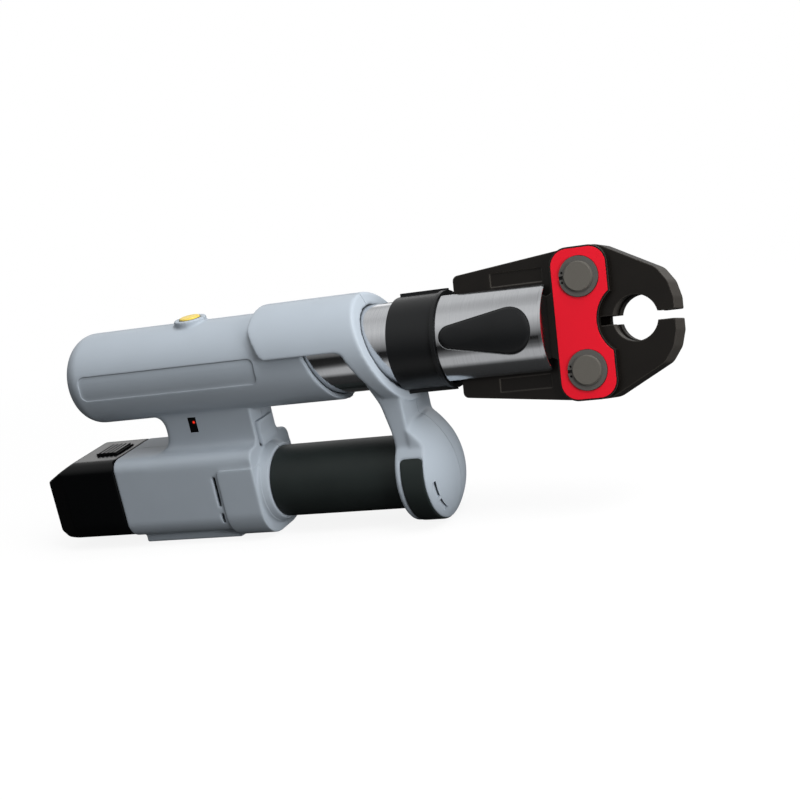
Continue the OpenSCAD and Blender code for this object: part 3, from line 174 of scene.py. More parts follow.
def surface(name, **inputs):
    """New material with one Principled surface and its Object coordinates."""
    made = bpy.data.materials.new(name)
    made.use_nodes = True
    tree = made.node_tree
    tree.nodes.clear()
    shader = add(tree, "BsdfPrincipled", inputs)
    add(tree, "OutputMaterial", {"Surface": shader.outputs[0]})
    return made, tree, shader, add(tree, "TexCoord").outputs["Object"]


def opened(made):
    """Tree, Principled shader and Object coordinates of a finish that is there already."""
    tree = made.node_tree
    shader = next(n for n in tree.nodes if n.type == "BSDF_PRINCIPLED")
    return tree, shader, next(n for n in tree.nodes if n.type == "TEX_COORD").outputs["Object"]


def grained(name, colour, rough, grain_mm, depth_mm, edge_mm=0.0, tone=0.05, **inputs):
    """A moulded or coated surface: fine grain in the bump, soft drift of tone, edges broken by edge_mm."""
    drift_mm, rough_drift = 35, 0.06
    made, tree, shader, place = surface(name, **inputs)
    grain = add(tree, "TexNoise", {
        "Vector": place, "Scale": 1 / (grain_mm * MM), "Detail": 3.0, "Roughness": 0.6})
    drift = add(tree, "TexNoise", {"Vector": place, "Scale": 1 / (drift_mm * MM), "Detail": 2.0})
    shade = shaded(tree, drift.outputs["Fac"], colour, (0.3, 0.7), (1 - tone, 1 + tone))
    tree.links.new(shade, shader.inputs["Base Color"])
    shine = add(tree, "MapRange", {
        "Value": grain.outputs["Fac"], "To Min": rough - rough_drift, "To Max": rough + rough_drift})
    tree.links.new(shine.outputs["Result"], shader.inputs["Roughness"])
    bump = add(tree, "Bump", {"Height": grain.outputs["Fac"], "Strength": 0.5, "Distance": depth_mm * MM})
    if edge_mm:
        round_off = add(tree, "Bevel", {"Radius": edge_mm * MM}, samples=6)
        tree.links.new(round_off.outputs[0], bump.inputs["Normal"])
    tree.links.new(bump.outputs[0], shader.inputs["Normal"])
    return made


def turned(name, colour, rough, line_mm, edge_mm, stretch=(1.0, 0.02, 0.02), **inputs):
    """Metal cut on a lathe or ground: fine lines across one axis, which spread the reflections along it."""
    line_depth_mm = 0.02
    made, tree, shader, place = surface(name, **{"Metallic": 1.0, **inputs})
    lines = add(tree, "Mapping", {"Vector": place, "Scale": stretch})
    cut = add(tree, "TexNoise", {
        "Vector": lines.outputs[0], "Scale": 1 / (line_mm * MM), "Detail": 4.0, "Roughness": 0.7})
    shade = shaded(tree, cut.outputs["Fac"], colour, (0.25, 0.75), (0.86, 1.05))
    tree.links.new(shade, shader.inputs["Base Color"])
    shine = add(tree, "MapRange", {"Value": cut.outputs["Fac"], "To Min": rough * 0.7, "To Max": rough * 1.4})
    tree.links.new(shine.outputs["Result"], shader.inputs["Roughness"])
    round_off = add(tree, "Bevel", {"Radius": edge_mm * MM}, samples=6)
    bump = add(tree, "Bump", {
        "Height": cut.outputs["Fac"], "Strength": 0.25, "Distance": line_depth_mm * MM,
        "Normal": round_off.outputs[0]})
    tree.links.new(bump.outputs[0], shader.inputs["Normal"])
    return made


def phosphated(name, colour, bare_and_lit_colour, edge_mm, front_light_share=0.0):
    """Phosphated tool steel: brown-black, speckled, paler on worn edges, and by a share paler on front faces
    as painted light from the front.
    """
    speck_mm, smear_mm, speck_depth_mm, edge_share = 0.9, 14, 0.06, 0.35
    made, tree, shader, place = surface(name, Metallic=0.35)
    speck = add(tree, "TexNoise", {
        "Vector": place, "Scale": 1 / (speck_mm * MM), "Detail": 5.0, "Roughness": 0.7})
    smear = add(tree, "TexNoise", {"Vector": place, "Scale": 1 / (smear_mm * MM), "Detail": 3.0})
    edge = add(tree, "Bevel", {"Radius": edge_mm * MM}, samples=8)
    flat = add(tree, "NewGeometry")
    turn = add(tree, "VectorMath", {0: edge.outputs[0], 1: flat.outputs["Normal"]}, operation="DOT_PRODUCT")
    rub = add(tree, "MapRange", {
        "Value": turn.outputs["Value"], "From Min": 0.999, "From Max": 0.93, "To Max": edge_share})
    # faces that point ahead are painted paler: painted light from the front
    ahead = add(tree, "SeparateXYZ", {0: add(tree, "TexCoord").outputs["Normal"]}).outputs["X"]
    ground = add(tree, "MapRange", {"Value": ahead, "From Min": 0.3, "From Max": 0.8, "To Max": front_light_share},
                 interpolation_type="SMOOTHSTEP")
    wear_and_painted_light = add(tree, "Math", {0: rub.outputs["Result"], 1: ground.outputs[0]}, operation="MAXIMUM")
    tones = add(tree, "MixRGB", {
        "Fac": smear.outputs["Fac"], "Color1": times(colour, 0.75), "Color2": times(colour, 1.35)})
    worn_and_lit_colour = add(tree, "MixRGB", {
        "Fac": wear_and_painted_light.outputs[0], "Color1": tones.outputs[0], "Color2": linear(bare_and_lit_colour)})
    tree.links.new(worn_and_lit_colour.outputs[0], shader.inputs["Base Color"])
    shine = add(tree, "MapRange", {"Value": speck.outputs["Fac"], "To Min": 0.36, "To Max": 0.56})
    tree.links.new(shine.outputs["Result"], shader.inputs["Roughness"])
    bump = add(tree, "Bump", {
        "Height": speck.outputs["Fac"], "Strength": 0.35, "Distance": speck_depth_mm * MM,
        "Normal": edge.outputs[0]})
    tree.links.new(bump.outputs[0], shader.inputs["Normal"])
    return made


def rounded_box(tree, place, low, high, radius):
    """Distance in X and Z from a box with round corners, in metres, negative inside."""
    low, high = np.array(low) * MM, np.array(high) * MM
    mid, half = (low + high) / 2, (high - low) / 2 - radius * MM
    shift = add(tree, "VectorMath", {0: place, 1: (mid[0], 0, mid[1])}, operation="SUBTRACT")
    flat = add(tree, "VectorMath", {0: shift.outputs[0], 1: (1, 0, 1)}, operation="MULTIPLY")
    size = add(tree, "VectorMath", {0: flat.outputs[0]}, operation="ABSOLUTE")
    over = add(tree, "VectorMath", {0: size.outputs[0], 1: (half[0], 0, half[1])}, operation="SUBTRACT")
    corner = add(tree, "VectorMath", {0: over.outputs[0], 1: (0, 0, 0)}, operation="MAXIMUM")
    reach = add(tree, "VectorMath", {0: corner.outputs[0]}, operation="LENGTH")
    return add(tree, "Math", {0: reach.outputs["Value"], 1: radius * MM}, operation="SUBTRACT").outputs[0]


def marked(made, low, high, radius, rise_mm, tone):
    """Adds a raised or sunken field with a crisp edge to a grained finish, its colour times tone inside."""
    rim = 0.45 * MM
    tree, shader, place = opened(made)
    away = rounded_box(tree, place, low, high, radius)
    inside = add(tree, "MapRange", {"Value": away, "From Min": rim, "From Max": -rim},
                 interpolation_type="SMOOTHSTEP").outputs[0]
    normal = shader.inputs["Normal"].links[0].from_socket
    edge = add(tree, "Bump", {
        "Height": inside, "Strength": 1.0, "Distance": abs(rise_mm) * MM, "Normal": normal},
        invert=rise_mm < 0)
    tree.links.new(edge.outputs[0], shader.inputs["Normal"])
    colour = shader.inputs["Base Color"].links[0].from_socket
    shade = add(tree, "MapRange", {"Value": inside, "To Min": 1.0, "To Max": tone}).outputs[0]
    mixed = add(tree, "VectorMath", {0: colour, 1: shade}, operation="MULTIPLY")
    tree.links.new(mixed.outputs[0], shader.inputs["Base Color"])


def smoked_window(c):
    """Smoked window with the lamp's red glow in its upper corner."""
    made = grained("smoked_window", c.battery, rough=0.2, grain_mm=2.0, depth_mm=0.0, tone=0.0,
                   **{"Emission Color": linear(c.lamp)})
    tree, shader, place = opened(made)
    away = rounded_box(tree, place, (-357.6, -39.6), (-356.0, -38.0), 0.8)
    glow = add(tree, "MapRange", {"Value": away, "From Min": 0.7 * MM, "From Max": -0.6 * MM, "To Max": 1.2},
               interpolation_type="SMOOTHSTEP")
    tree.links.new(glow.outputs[0], shader.inputs["Emission Strength"])
    return made


FINISH = {}


def make_finishes(c):
    """Every finish of the tool, by its common name."""
    # ABS moulded against a spark-eroded tool: matt, grain too fine to see here, so it is drawn at 0.7 mm
    for key, name in (("bow", "moulded_grey_abs"), ("abs", "moulded_grey_abs_housing")):
        FINISH[key] = grained(name, c.housing, rough=0.46, grain_mm=0.7, depth_mm=0.05, tone=0.02, IOR=1.53)
    # the housing's has the barrel's plain recess and the pad at the block's front, finer than the skin; the
    # recess is painted ten per cent darker inside, as painted shade
    marked(FINISH["abs"], (-439, -9), (-283, 10), radius=5, rise_mm=-0.6, tone=0.9)
    marked(FINISH["abs"], (-338, -150), (-303, -74), radius=5, rise_mm=0.7, tone=1.0)
    # yellow polypropylene, smooth with a soft shine
    FINISH["yellow"] = grained("yellow_polypropylene", c.button, rough=0.38, grain_mm=0.9, depth_mm=0.03,
                               edge_mm=0.4, tone=0.04, IOR=1.49)
    # nitrile rubber sleeve, dull with a dusty drift
    FINISH["rubber"] = grained("black_nitrile_rubber", c.rubber, rough=0.5, grain_mm=0.8, depth_mm=0.06,
                               edge_mm=0.6, tone=0.12, **{"Specular IOR Level": 0.3})
    # glass-filled nylon, satin black with fine fibre grain
    FINISH["nylon"] = grained("satin_black_nylon", c.band, rough=0.36, grain_mm=0.6, depth_mm=0.05,
                              edge_mm=0.8, tone=0.1, **{"Specular IOR Level": 0.25})
    # polycarbonate case, black and half glossy
    FINISH["case"] = grained("black_polycarbonate", c.battery, rough=0.2, grain_mm=1.2, depth_mm=0.02,
                             tone=0.1, **{"Specular IOR Level": 0.2})
    # turned and polished steel: rings round the axis
    FINISH["bright"] = turned("turned_bright_steel", c.bright, rough=0.12, line_mm=0.5, edge_mm=0.6)
    # machined steel and brass, duller than the tube
    FINISH["steel"] = turned("machined_steel", c.steel, rough=0.32, line_mm=0.6, edge_mm=0.3)
    FINISH["brass"] = turned("machined_brass", c.brass, rough=0.3, line_mm=0.5, edge_mm=0.3)
    # spring steel and ground bolt faces: grey and dull
    FINISH["clip"] = turned("spring_steel", c.clip, rough=0.4, line_mm=0.6, edge_mm=0.3,
                            stretch=(1.0, 1.0, 1.0), Metallic=0.3)
    FINISH["bolt"] = turned("ground_bolt_steel", c.bolt, rough=0.42, line_mm=0.5, edge_mm=0.6,
                            stretch=(1.0, 0.1, 1.0), Metallic=0.3)
    # phosphated steel, rubbed bare on its edges; the jaws' front faces are painted paler, as painted light
    # from the front
    FINISH["jaw"] = phosphated("phosphated_jaw_steel", c.jaw, c.bare_edge_and_lit_front, edge_mm=1.2, front_light_share=0.5)
    FINISH["plate"] = phosphated("phosphated_plate_steel", c.jaw, c.bare_edge_and_lit_front, edge_mm=0.7)
    # stove lacquer over steel: even red under a clear gloss
    FINISH["red"] = grained("red_stove_lacquer", c.panel, rough=0.3, grain_mm=2.0, depth_mm=0.01,
                            edge_mm=0.3, tone=0.03,
                            **{"Specular IOR Level": 0.3, "Coat Weight": 0.15, "Coat Roughness": 0.12})
    FINISH["window"] = smoked_window(c)
    # clear red lens, faintly lit
    FINISH["lamp"] = grained("red_lamp_lens", c.lamp, rough=0.15, grain_mm=1.0, depth_mm=0.0,
                             edge_mm=0.2, tone=0.02,
                             **{"Emission Color": linear(c.lamp), "Emission Strength": 0.6})
    # solder mask: green and half matt
    FINISH["board"] = grained("solder_mask", c.board, rough=0.4, grain_mm=1.5, depth_mm=0.02,
                              edge_mm=0.2, tone=0.1)
    # shrunk film round the cells, thin and shiny
    FINISH["sleeve"] = grained("shrunk_cell_film", c.sleeve, rough=0.25, grain_mm=3.0, depth_mm=0.04,
                               edge_mm=0.2, tone=0.05)


def wear(nodes, finish):
    """Gives CAD nodes a finish."""
    for name in nodes.split():
        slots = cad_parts[name].data.materials
        slots.clear()
        slots.append(FINISH[finish])


def place_piece(name, mesh, finish, body, *nodes):
    """Links a mesh as a piece, smooth up to 35 degrees, riding on its body in place of the CAD nodes."""
    mesh.validate()
    mesh.shade_smooth()
    mesh.set_sharp_from_angle(angle=np.radians(35))
    mesh.materials.clear()
    mesh.materials.append(FINISH[finish])
    made = bpy.data.objects.new(name, mesh)
    bpy.context.scene.collection.objects.link(made)
    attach(made, body)
    if nodes:
        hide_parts(*nodes)
    return made


def mesh_piece(name, points, faces, finish, body, *nodes):
    """Puts a closed piece from arrays into the scene, its faces turned outwards."""
    mesh = bpy.data.meshes.new(name)
    mesh.from_pydata(points.tolist(), [], [list(f) for f in faces])
    made = place_piece(name, mesh, finish, body, *nodes)
    facing_out(made.data)
    return made


def grid_faces(rows, columns, wrap_rows=False):
    """Quads of a grid of rows by columns, columns closed round; wrap_rows closes the rows too."""
    i, j = np.meshgrid(np.arange(rows if wrap_rows else rows - 1), np.arange(columns), indexing="ij")
    i2, j2 = (i + 1) % rows, (j + 1) % columns
    corners = [i * columns + j, i * columns + j2, i2 * columns + j2, i2 * columns + j]
    return np.stack(corners, -1).reshape(-1, 4)


def revolved(profile, origin, axis, steps=96):
    """Closed body of revolution: profile rows of radius and height, turned about an axis through origin.

    Point = origin + height * axis + radius * (cos t * u + sin t * v), u and v square to the axis.
    """
    axis = np.array(axis, float)
    u = np.cross(axis, [0.0, 1.0, 0.0] if abs(axis[1]) < 0.9 else [1.0, 0.0, 0.0])
    u /= np.linalg.norm(u)
    v = np.cross(axis, u)
    t = np.linspace(0, 2 * np.pi, steps, endpoint=False)
    ring = np.cos(t)[:, None] * u + np.sin(t)[:, None] * v
    profile = np.array(profile, float)
    points = np.array(origin) + profile[:, 1, None, None] * axis + profile[:, 0, None, None] * ring
    return points.reshape(-1, 3), grid_faces(len(profile), steps, True)


def soft_ring(r_in, r_out, x0, x1, edge, steps=8):
    """Profile of a sleeve between two radii whose outer corners are quarter circles of radius edge."""
    a = np.linspace(0, np.pi / 2, steps)
    front = np.stack([r_out - edge + edge * np.cos(a), x1 - edge + edge * np.sin(a)], -1)
    rear = np.stack([r_out - edge + edge * np.sin(a), x0 + edge - edge * np.cos(a)], -1)
    return np.concatenate([[[r_in, x0]], rear, front, [[r_in, x1]]])


def pillow(outline, centre, lift, steps, edge_share):
    """Closed pad over a star-shaped outline: rings drawn in to the centre, over a foot of the same outline.

    lift(points, rise) maps flat points and a rise to space. The rise is 1 inside and rolls off as a quarter
    circle over the outer edge_share of the way out; the foot has a rise of -1.
    """
    inner = 1 - edge_share
    roll = 1 - edge_share * (1 - np.sin(np.linspace(0.2, np.pi / 2, 6)))
    shares = np.concatenate([np.linspace(0.0, inner, steps), roll])[1:]
    over = np.clip((shares - inner) / edge_share, 0, 1)
    rise = np.sqrt(1 - np.minimum(over, 0.98) ** 2)
    rings = centre + shares[:, None, None] * (outline - centre)
    top = lift(rings.reshape(-1, 2), np.repeat(rise, len(outline)))
    foot = lift(outline, np.full(len(outline), -1.0))
    poles = [lift(centre[None], np.ones(1)), lift(centre[None], np.full(1, -1.0))]
    points = np.concatenate([top, foot] + poles)
    rows, columns = len(shares) + 1, len(outline)
    tip, base = rows * columns, rows * columns + 1
    k = np.arange(columns)
    k2, last = (k + 1) % columns, (rows - 1) * columns
    faces = grid_faces(rows, columns).tolist()
    faces += np.stack([np.full(columns, tip), k2, k], -1).tolist()
    faces += np.stack([np.full(columns, base), last + k, last + k2], -1).tolist()
    return points, faces


def facing_out(mesh):
    """Turns every face of a closed mesh outwards."""
    work = bmesh.new()
    work.from_mesh(mesh)
    bmesh.ops.remove_doubles(work, verts=work.verts, dist=SAME_POINT)
    bmesh.ops.recalc_face_normals(work, faces=work.faces)
    work.to_mesh(mesh)
    work.free()


def closed_mesh(name, points, faces):
    """Loose mesh from arrays, for cutting or joining, its faces turned outwards."""
    mesh = bpy.data.meshes.new(name)
    mesh.from_pydata(points.tolist(), [], faces)
    facing_out(mesh)
    return mesh


def rectangle(x0, z0, x1, z1):
    """Corners of an upright rectangle in X and Z."""
    return np.array([[x0, z0], [x1, z0], [x1, z1], [x0, z1]])


def prism_mesh(outline, y0, y1):
    """Closed prism along Y over an outline in X and Z."""
    n = len(outline)
    points = np.concatenate([np.insert(outline, 1, y, axis=1) for y in (y0, y1)])
    k = np.arange(n)
    k2 = (k + 1) % n
    faces = np.stack([k, k2, k2 + n, k + n], -1).tolist() + [k[::-1].tolist(), (k + n).tolist()]
    return closed_mesh("prism", points, faces)


def merged_copy(name, nodes, extra=()):
    """One mesh from copies of CAD nodes and further meshes, their loose triangles joined."""
    work = bmesh.new()
    for part in [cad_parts[n].data for n in nodes] + list(extra):
        work.from_mesh(part)
    bmesh.ops.remove_doubles(work, verts=work.verts, dist=SAME_POINT)
    mesh = bpy.data.meshes.new(name)
    work.to_mesh(mesh)
    work.free()
    return mesh


def evaluated(made):
    """Mesh of an object with its modifiers applied."""
    return bpy.data.meshes.new_from_object(made.evaluated_get(bpy.context.evaluated_depsgraph_get()))


def melted(name, nodes, grid, rounds, blend=None, blend_rounds=0, extra=()):
    """Skin over merged nodes on an even grid, its edges rounded by passes of smoothing.

    A pass moves each point half of the way to its neighbours' mean. blend gives each point a weight from 0
    to 1 for further passes; extra meshes are joined in first.
    """
    pull = 0.5
    source = bpy.data.objects.new(name, merged_copy(name, nodes, extra))
    bpy.context.scene.collection.objects.link(source)
    skin = source.modifiers.new("skin", "REMESH")
    skin.mode = "VOXEL"
    skin.voxel_size = grid
    result = evaluated(source)
    old = source.data
    bpy.data.objects.remove(source)
    bpy.data.meshes.remove(old)
    count = len(result.vertices)
    points = np.empty(count * 3)
    result.vertices.foreach_get("co", points)
    points = points.reshape(-1, 3)
    edges = np.empty(len(result.edges) * 2, dtype=np.int64)
    result.edges.foreach_get("vertices", edges)
    a, b = edges.reshape(-1, 2).T
    ends, others = np.concatenate([a, b]), np.concatenate([b, a])
    degree = np.bincount(ends, minlength=count)[:, None]
    weight = np.full((count, 1), pull)
    for turn in range(rounds + blend_rounds):
        if turn == rounds:
            weight = pull * blend(points)[:, None]
        mean = np.stack([np.bincount(ends, points[others, k], count) for k in range(3)], -1) / degree
        points += weight * (mean - points)
    result.vertices.foreach_set("co", points.ravel())
    result.update()
    return result


def kept_share(mesh, triangles):
    """Share of a quad mesh's faces that leaves about so many triangles."""
    return min(1.0, triangles / (2 * len(mesh.polygons)))


def reshaped(mesh, cutters, share, side=0):
    """A closed mesh thinned to a share of its faces, less the cutters, and kept on one side of the middle."""
    far, far_side = 0.9, 0.5
    holder = bpy.data.objects.new(mesh.name, mesh)
    bpy.context.scene.collection.objects.link(holder)
    tools = list(cutters)
    if share < 1:
        holder.modifiers.new("thin", "DECIMATE").ratio = share
    if side:
        gap = bpy.context.scene.press_tool_sizes.parting_gap / 2
        tools.append(prism_mesh(rectangle(-far, -far, far, far), *sorted((side * gap, -side * far_side))))
    helpers = []
    for tool in tools:
        helper = bpy.data.objects.new("cutter", tool)
        bpy.context.scene.collection.objects.link(helper)
        helpers.append(helper)
        cut = holder.modifiers.new("cut", "BOOLEAN")
        cut.operation = "DIFFERENCE"
        cut.solver = "MANIFOLD"
        cut.object = helper
    result = evaluated(holder)
    for used in [holder] + helpers:
        bpy.data.objects.remove(used)
    return result


# where the neck is blended, in metres: axis, lower and upper end, and how far the weight runs in from each
NECK_BLEND = (
    (0, -0.402, -0.309, 0.006, 0.008),
    (2, -0.076, -0.018, 0.008, 0.008),
)


def neck_weight(p):
    """Weight of the neck's blend at points: 1 along the neck, rising evenly from 0 at each end."""
    weight = 1.0
    for axis, low, high, low_run, high_run in NECK_BLEND:
        weight = weight * np.clip((p[:, axis] - low) / low_run, 0, 1)
        weight = weight * np.clip((high - p[:, axis]) / high_run, 0, 1)
    return weight


class OBJECT_OT_press_housing(bpy.types.Operator):
    """Moulds the two housing halves: soft edges, neck blended into the barrel, crisp slots"""
    bl_idname = "object.press_housing"
    bl_label = "Housing"

    def execute(self, context):
        s = context.scene.press_tool_sizes
        outside, slot_floor, window_floor, window_gap = 40 * MM, 26 * MM, 12 * MM, 0.15 * MM
        slot_rear, slot_front = -343, -340.4
        skin = melted("housing", ["housing_left", "housing_right", "led_window"],
                      s.shell_grid, s.shell_rounds, neck_weight, s.blend_rounds)
        share = kept_share(skin, SHELL_TRIANGLES)
        for side, word in SIDES:
            slots = [prism_mesh(rectangle(slot_rear, low, slot_front, high) * MM,
                                *sorted((side * slot_floor, side * outside)))
                     for low, high in ((-103, -79), (-116.5, -108.5))]
            if side < 0:
                low, high = np.array(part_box("led_window"))[:, [0, 2]]
                opening = rectangle(*(low - window_gap), *(high + window_gap))
                slots.append(prism_mesh(opening, -outside, -window_floor))
            half = reshaped(skin.copy(), slots, share, side)
            place_piece("housing_shell_" + word, half, "abs", "tool_body", "housing_" + word)
        return {"FINISHED"}


def dome_cap(axis_z):
    """The drum's dome without its slots, a slice of a ball turned about the grip's axis."""
    dome_radius, sunk, rim, rear = 58 * MM, 0.05 * MM, 33 * MM, -166 * MM
    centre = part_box("bow_left")[1][0] - dome_radius
    r = np.linspace(rim, 0, 24)
    front = np.stack([r, centre + np.sqrt((dome_radius - sunk) ** 2 - r ** 2)], -1)
    points, faces = revolved(np.concatenate([[[0, rear], [rim, rear]], front]), (0, 0, axis_z), (1, 0, 0))
    return closed_mesh("cap", points, faces.tolist())


class OBJECT_OT_press_bow(bpy.types.Operator):
    """Moulds the two bow halves with soft edges and the drum's slots"""
    bl_idname = "object.press_bow"
    bl_label = "Bow"

    def execute(self, context):
        s = context.scene.press_tool_sizes
        slot_rear, slot_front, slot_floor, outside = -163.3, -161.3, 24 * MM, 45 * MM
        # the cap fills the solid's slots, which are cut crisply afterwards
        cap = dome_cap(s.grip_axis)
        skin = melted("bow", ["bow_left", "bow_right"], s.shell_grid, s.bow_rounds, extra=[cap])
        share = kept_share(skin, SHELL_TRIANGLES)
        for side, word in SIDES:
            slots = []
            for turn, half_mm in ((11, 6.2), (41, 6.3)):
                outline = rectangle(slot_rear, -half_mm, slot_front, half_mm) * MM
                slot = prism_mesh(outline, slot_floor, outside)
                swing = Matrix.Rotation(np.radians(-turn if side > 0 else 180 + turn), 4, "X")
                slot.transform(Matrix.Translation((0, 0, s.grip_axis)) @ swing)
                slots.append(slot)
            half = reshaped(skin.copy(), slots, share, side)
            place_piece("bow_shell_" + word, half, "bow", "tool_body", "bow_" + word)
        return {"FINISHED"}


def inlay_strip(radius, axis_z, x0, x1, top):
    """Rubber strip round the drum's lower side: a flat section with rolled edges, swept about the drum's axis.

    The section's width narrows as a quarter circle towards both ends; the angle runs over the bottom from near
    to far side. The section is a superellipse: signed powers of the cosine and sine.
    """
    corner, half_t, sunk, end_share = 3.2 * MM, 0.8 * MM, 0.5 * MM, 0.9
    flat_power, edge_power = 0.22, 0.6
    a = np.linspace(0, 2 * np.pi, 32, endpoint=False)
    loop = np.stack([np.sign(np.cos(a)) * np.abs(np.cos(a)) ** flat_power,
                     np.sign(np.sin(a)) * np.abs(np.sin(a)) ** edge_power], -1)
    reach = np.pi / 2 + np.arcsin(top / radius)
    run = np.linspace(-1, 1, 161) * reach
    left = np.minimum((reach - np.abs(run)) * radius, corner)
    narrow = corner - np.sqrt(np.maximum(corner ** 2 - (corner - left) ** 2, 0))
    half = (x1 - x0) / 2 - narrow
    thick = np.where(left < corner, end_share, 1.0) * half_t
    x = (x0 + x1) / 2 + half[:, None] * loop[:, 0]
    r = radius - sunk + thick[:, None] * loop[:, 1]
    points = np.stack([x, r * np.sin(run)[:, None], axis_z - r * np.cos(run)[:, None]], -1).reshape(-1, 3)
    n, rows = len(a), len(run)
    faces = grid_faces(rows, n).tolist() + [list(range(n)), list(range((rows - 1) * n, rows * n))]
    return points, faces


class OBJECT_OT_press_grip(bpy.types.Operator):
    """Draws the rubber sleeve and the drum's inlay"""
    bl_idname = "object.press_grip"
    bl_label = "Grip"

    def execute(self, context):
        s = context.scene.press_tool_sizes
        wall, edge = 2.8 * MM, 1.2 * MM
        low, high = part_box("grip_sleeve")
        profile = soft_ring(s.grip_radius - wall, s.grip_radius, low[0], high[0], edge)
        points, faces = revolved(profile, (0, 0, s.grip_axis), (1, 0, 0), 128)
        made = mesh_piece("grip_rubber", points, faces, "rubber", "tool_body", "grip_sleeve")
        low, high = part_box("drum_inlay")
        points, faces = inlay_strip(s.drum_radius, s.grip_axis, low[0], high[0], high[2] - s.grip_axis)
        made = mesh_piece("inlay_rubber", points, faces, "rubber", "tool_body", "drum_inlay")
        return {"FINISHED"}


def button_profile(low_z, foot, top):
    """Half section of the button: stem, chamfered foot, side, rolled edge and slightly domed top."""
    r, stem_r, chamfer, edge, dome_h = 8 * MM, 3 * MM, 2 * MM, 1.1 * MM, 0.25 * MM
    a = np.linspace(0, np.pi / 2, 8)
    stem = [[0, low_z], [stem_r, low_z], [stem_r, foot], [r - chamfer, foot], [r, foot + chamfer]]
    rolled = np.stack([r - edge + edge * np.cos(a), top - dome_h - edge + edge * np.sin(a)], -1)
    dome = np.stack([np.linspace(r - edge, 0, 8)[1:], top - dome_h + dome_h * np.sin(a[1:])], -1)
    return np.concatenate([stem, rolled, dome])


class OBJECT_OT_press_controls(bpy.types.Operator):
    """Draws the button's cap and the trigger's plate, finishes window and lamp"""
    bl_idname = "object.press_controls"
    bl_label = "Controls"

    def execute(self, context):
        spring_gap, plate_grid, plate_rounds, plate_growth = 0.15 * MM, 0.6 * MM, 5, 1.02
        low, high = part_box("release_button")
        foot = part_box("button_spring")[1][2] + spring_gap
        profile = button_profile(low[2], foot, high[2])
        points, faces = revolved(profile, ((low[0] + high[0]) / 2, 0, 0), (0, 0, 1), 64)
        made = mesh_piece("button_cap", points, faces, "yellow", "release_button", "release_button")
        # smoothed, then grown a little in width and height
        plate = melted("trigger", ["trigger"], plate_grid, plate_rounds)
        centre = Matrix.Translation((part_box("trigger")[0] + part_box("trigger")[1]) / 2)
        plate.transform(centre @ Matrix.Diagonal((1.0, plate_growth, plate_growth, 1.0)) @ centre.inverted())
        place_piece("trigger_plate", plate, "bow", "trigger", "trigger")
        wear("led_window", "window")
        wear("led_lamp", "lamp")
        return {"FINISHED"}


class OBJECT_OT_press_paddle(bpy.types.Operator):
    """Draws the domed paddle of the retaining pin"""
    bl_idname = "object.press_paddle"
    bl_label = "Paddle"

    def execute(self, context):
        s = context.scene.press_tool_sizes
        big, small, foot_sunk, edge_sunk = 16 * MM, 8 * MM, 1.35 * MM, 0.6 * MM
        low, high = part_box("pin_paddle")
        x0 = high[0] - big
        length = x0 - low[0] - small
        # two arcs joined by the lines that touch both
        lean = np.arccos((big - small) / length)
        a = np.linspace(-(np.pi - lean), np.pi - lean, 48)
        b = np.linspace(np.pi - lean, np.pi + lean, 32)
        outline = np.concatenate([np.stack([x0 + big * np.cos(a), big * np.sin(a)], -1),
                                  np.stack([x0 - length + small * np.cos(b), small * np.sin(b)], -1)])
        turn = np.array(Matrix.Rotation(-HEAD_ROLL, 3, "X"))

        def lift(flat, rise):
            """Points on a cylinder about the tool's axis, whose radius grows with the rise."""
            edge_r = s.head_radius - edge_sunk
            r = np.where(rise < 0, s.head_radius - foot_sunk, edge_r + (s.paddle_rise + edge_sunk) * rise)
            return np.stack([flat[:, 0], -np.sqrt(r ** 2 - flat[:, 1] ** 2), flat[:, 1]], -1) @ turn.T

        points, faces = pillow(outline, np.array([x0 - length / 4, 0.0]), lift, 10, 0.12)
        made = mesh_piece("paddle_cap", points, faces, "nylon", "retainer", "pin_paddle")
        wear("retaining_pin", "steel")
        return {"FINISHED"}


class OBJECT_OT_press_head(bpy.types.Operator):
    """Finishes tube, fork head, band, rollers and piston"""
    bl_idname = "object.press_head"
    bl_label = "Head"

    def execute(self, context):
        wear("cylinder_tube fork_head upper_roller lower_roller pump_block", "bright")
        wear("swivel_band", "nylon")
        wear("roller_carriage roller_axles swivel_ring piston", "steel")
        return {"FINISHED"}


class OBJECT_OT_press_jaws(bpy.types.Operator):
    """Finishes jaws, links, panels, bolts and circlips"""
    bl_idname = "object.press_jaws"
    bl_label = "Jaws"

    def execute(self, context):
        wear("upper_jaw lower_jaw", "jaw")
        wear("near_link_plate far_link_plate", "plate")
        wear("link_panels", "red")
        wear("pivot_bolts", "bolt")
        wear("circlips", "clip")
        return {"FINISHED"}


class OBJECT_OT_press_battery(bpy.types.Operator):
    """Moulds the battery's case, finishes lid, latch, contacts and cells"""
    bl_idname = "object.press_battery"
    bl_label = "Battery"

    def execute(self, context):
        s = context.scene.press_tool_sizes
        case = melted("battery", ["battery_case"], s.shell_grid, s.case_rounds)
        case = reshaped(case, [], kept_share(case, CASE_TRIANGLES))
        place_piece("battery_shell", case, "case", "battery", "battery_case")
        wear("battery_lid battery_latch", "case")
        wear("battery_contacts", "brass")
        wear("battery_cells", "sleeve")
        return {"FINISHED"}


# springs, which in the tool shorten with the piece they press on; here each is put in as it stands: node,
# joint, body, axis and the joint's travel in mm
SPRINGS = (
    ("trigger_spring", "trigger_pull", "tool_body", 0, 3.0),
    ("button_spring", "release_press", "tool_body", 2, 2.5),
    ("plunger_spring", "plunger_stroke", "tool_body", 2, 2.4),
    ("latch_spring", "latch_press", "battery", 2, 1.8),
)


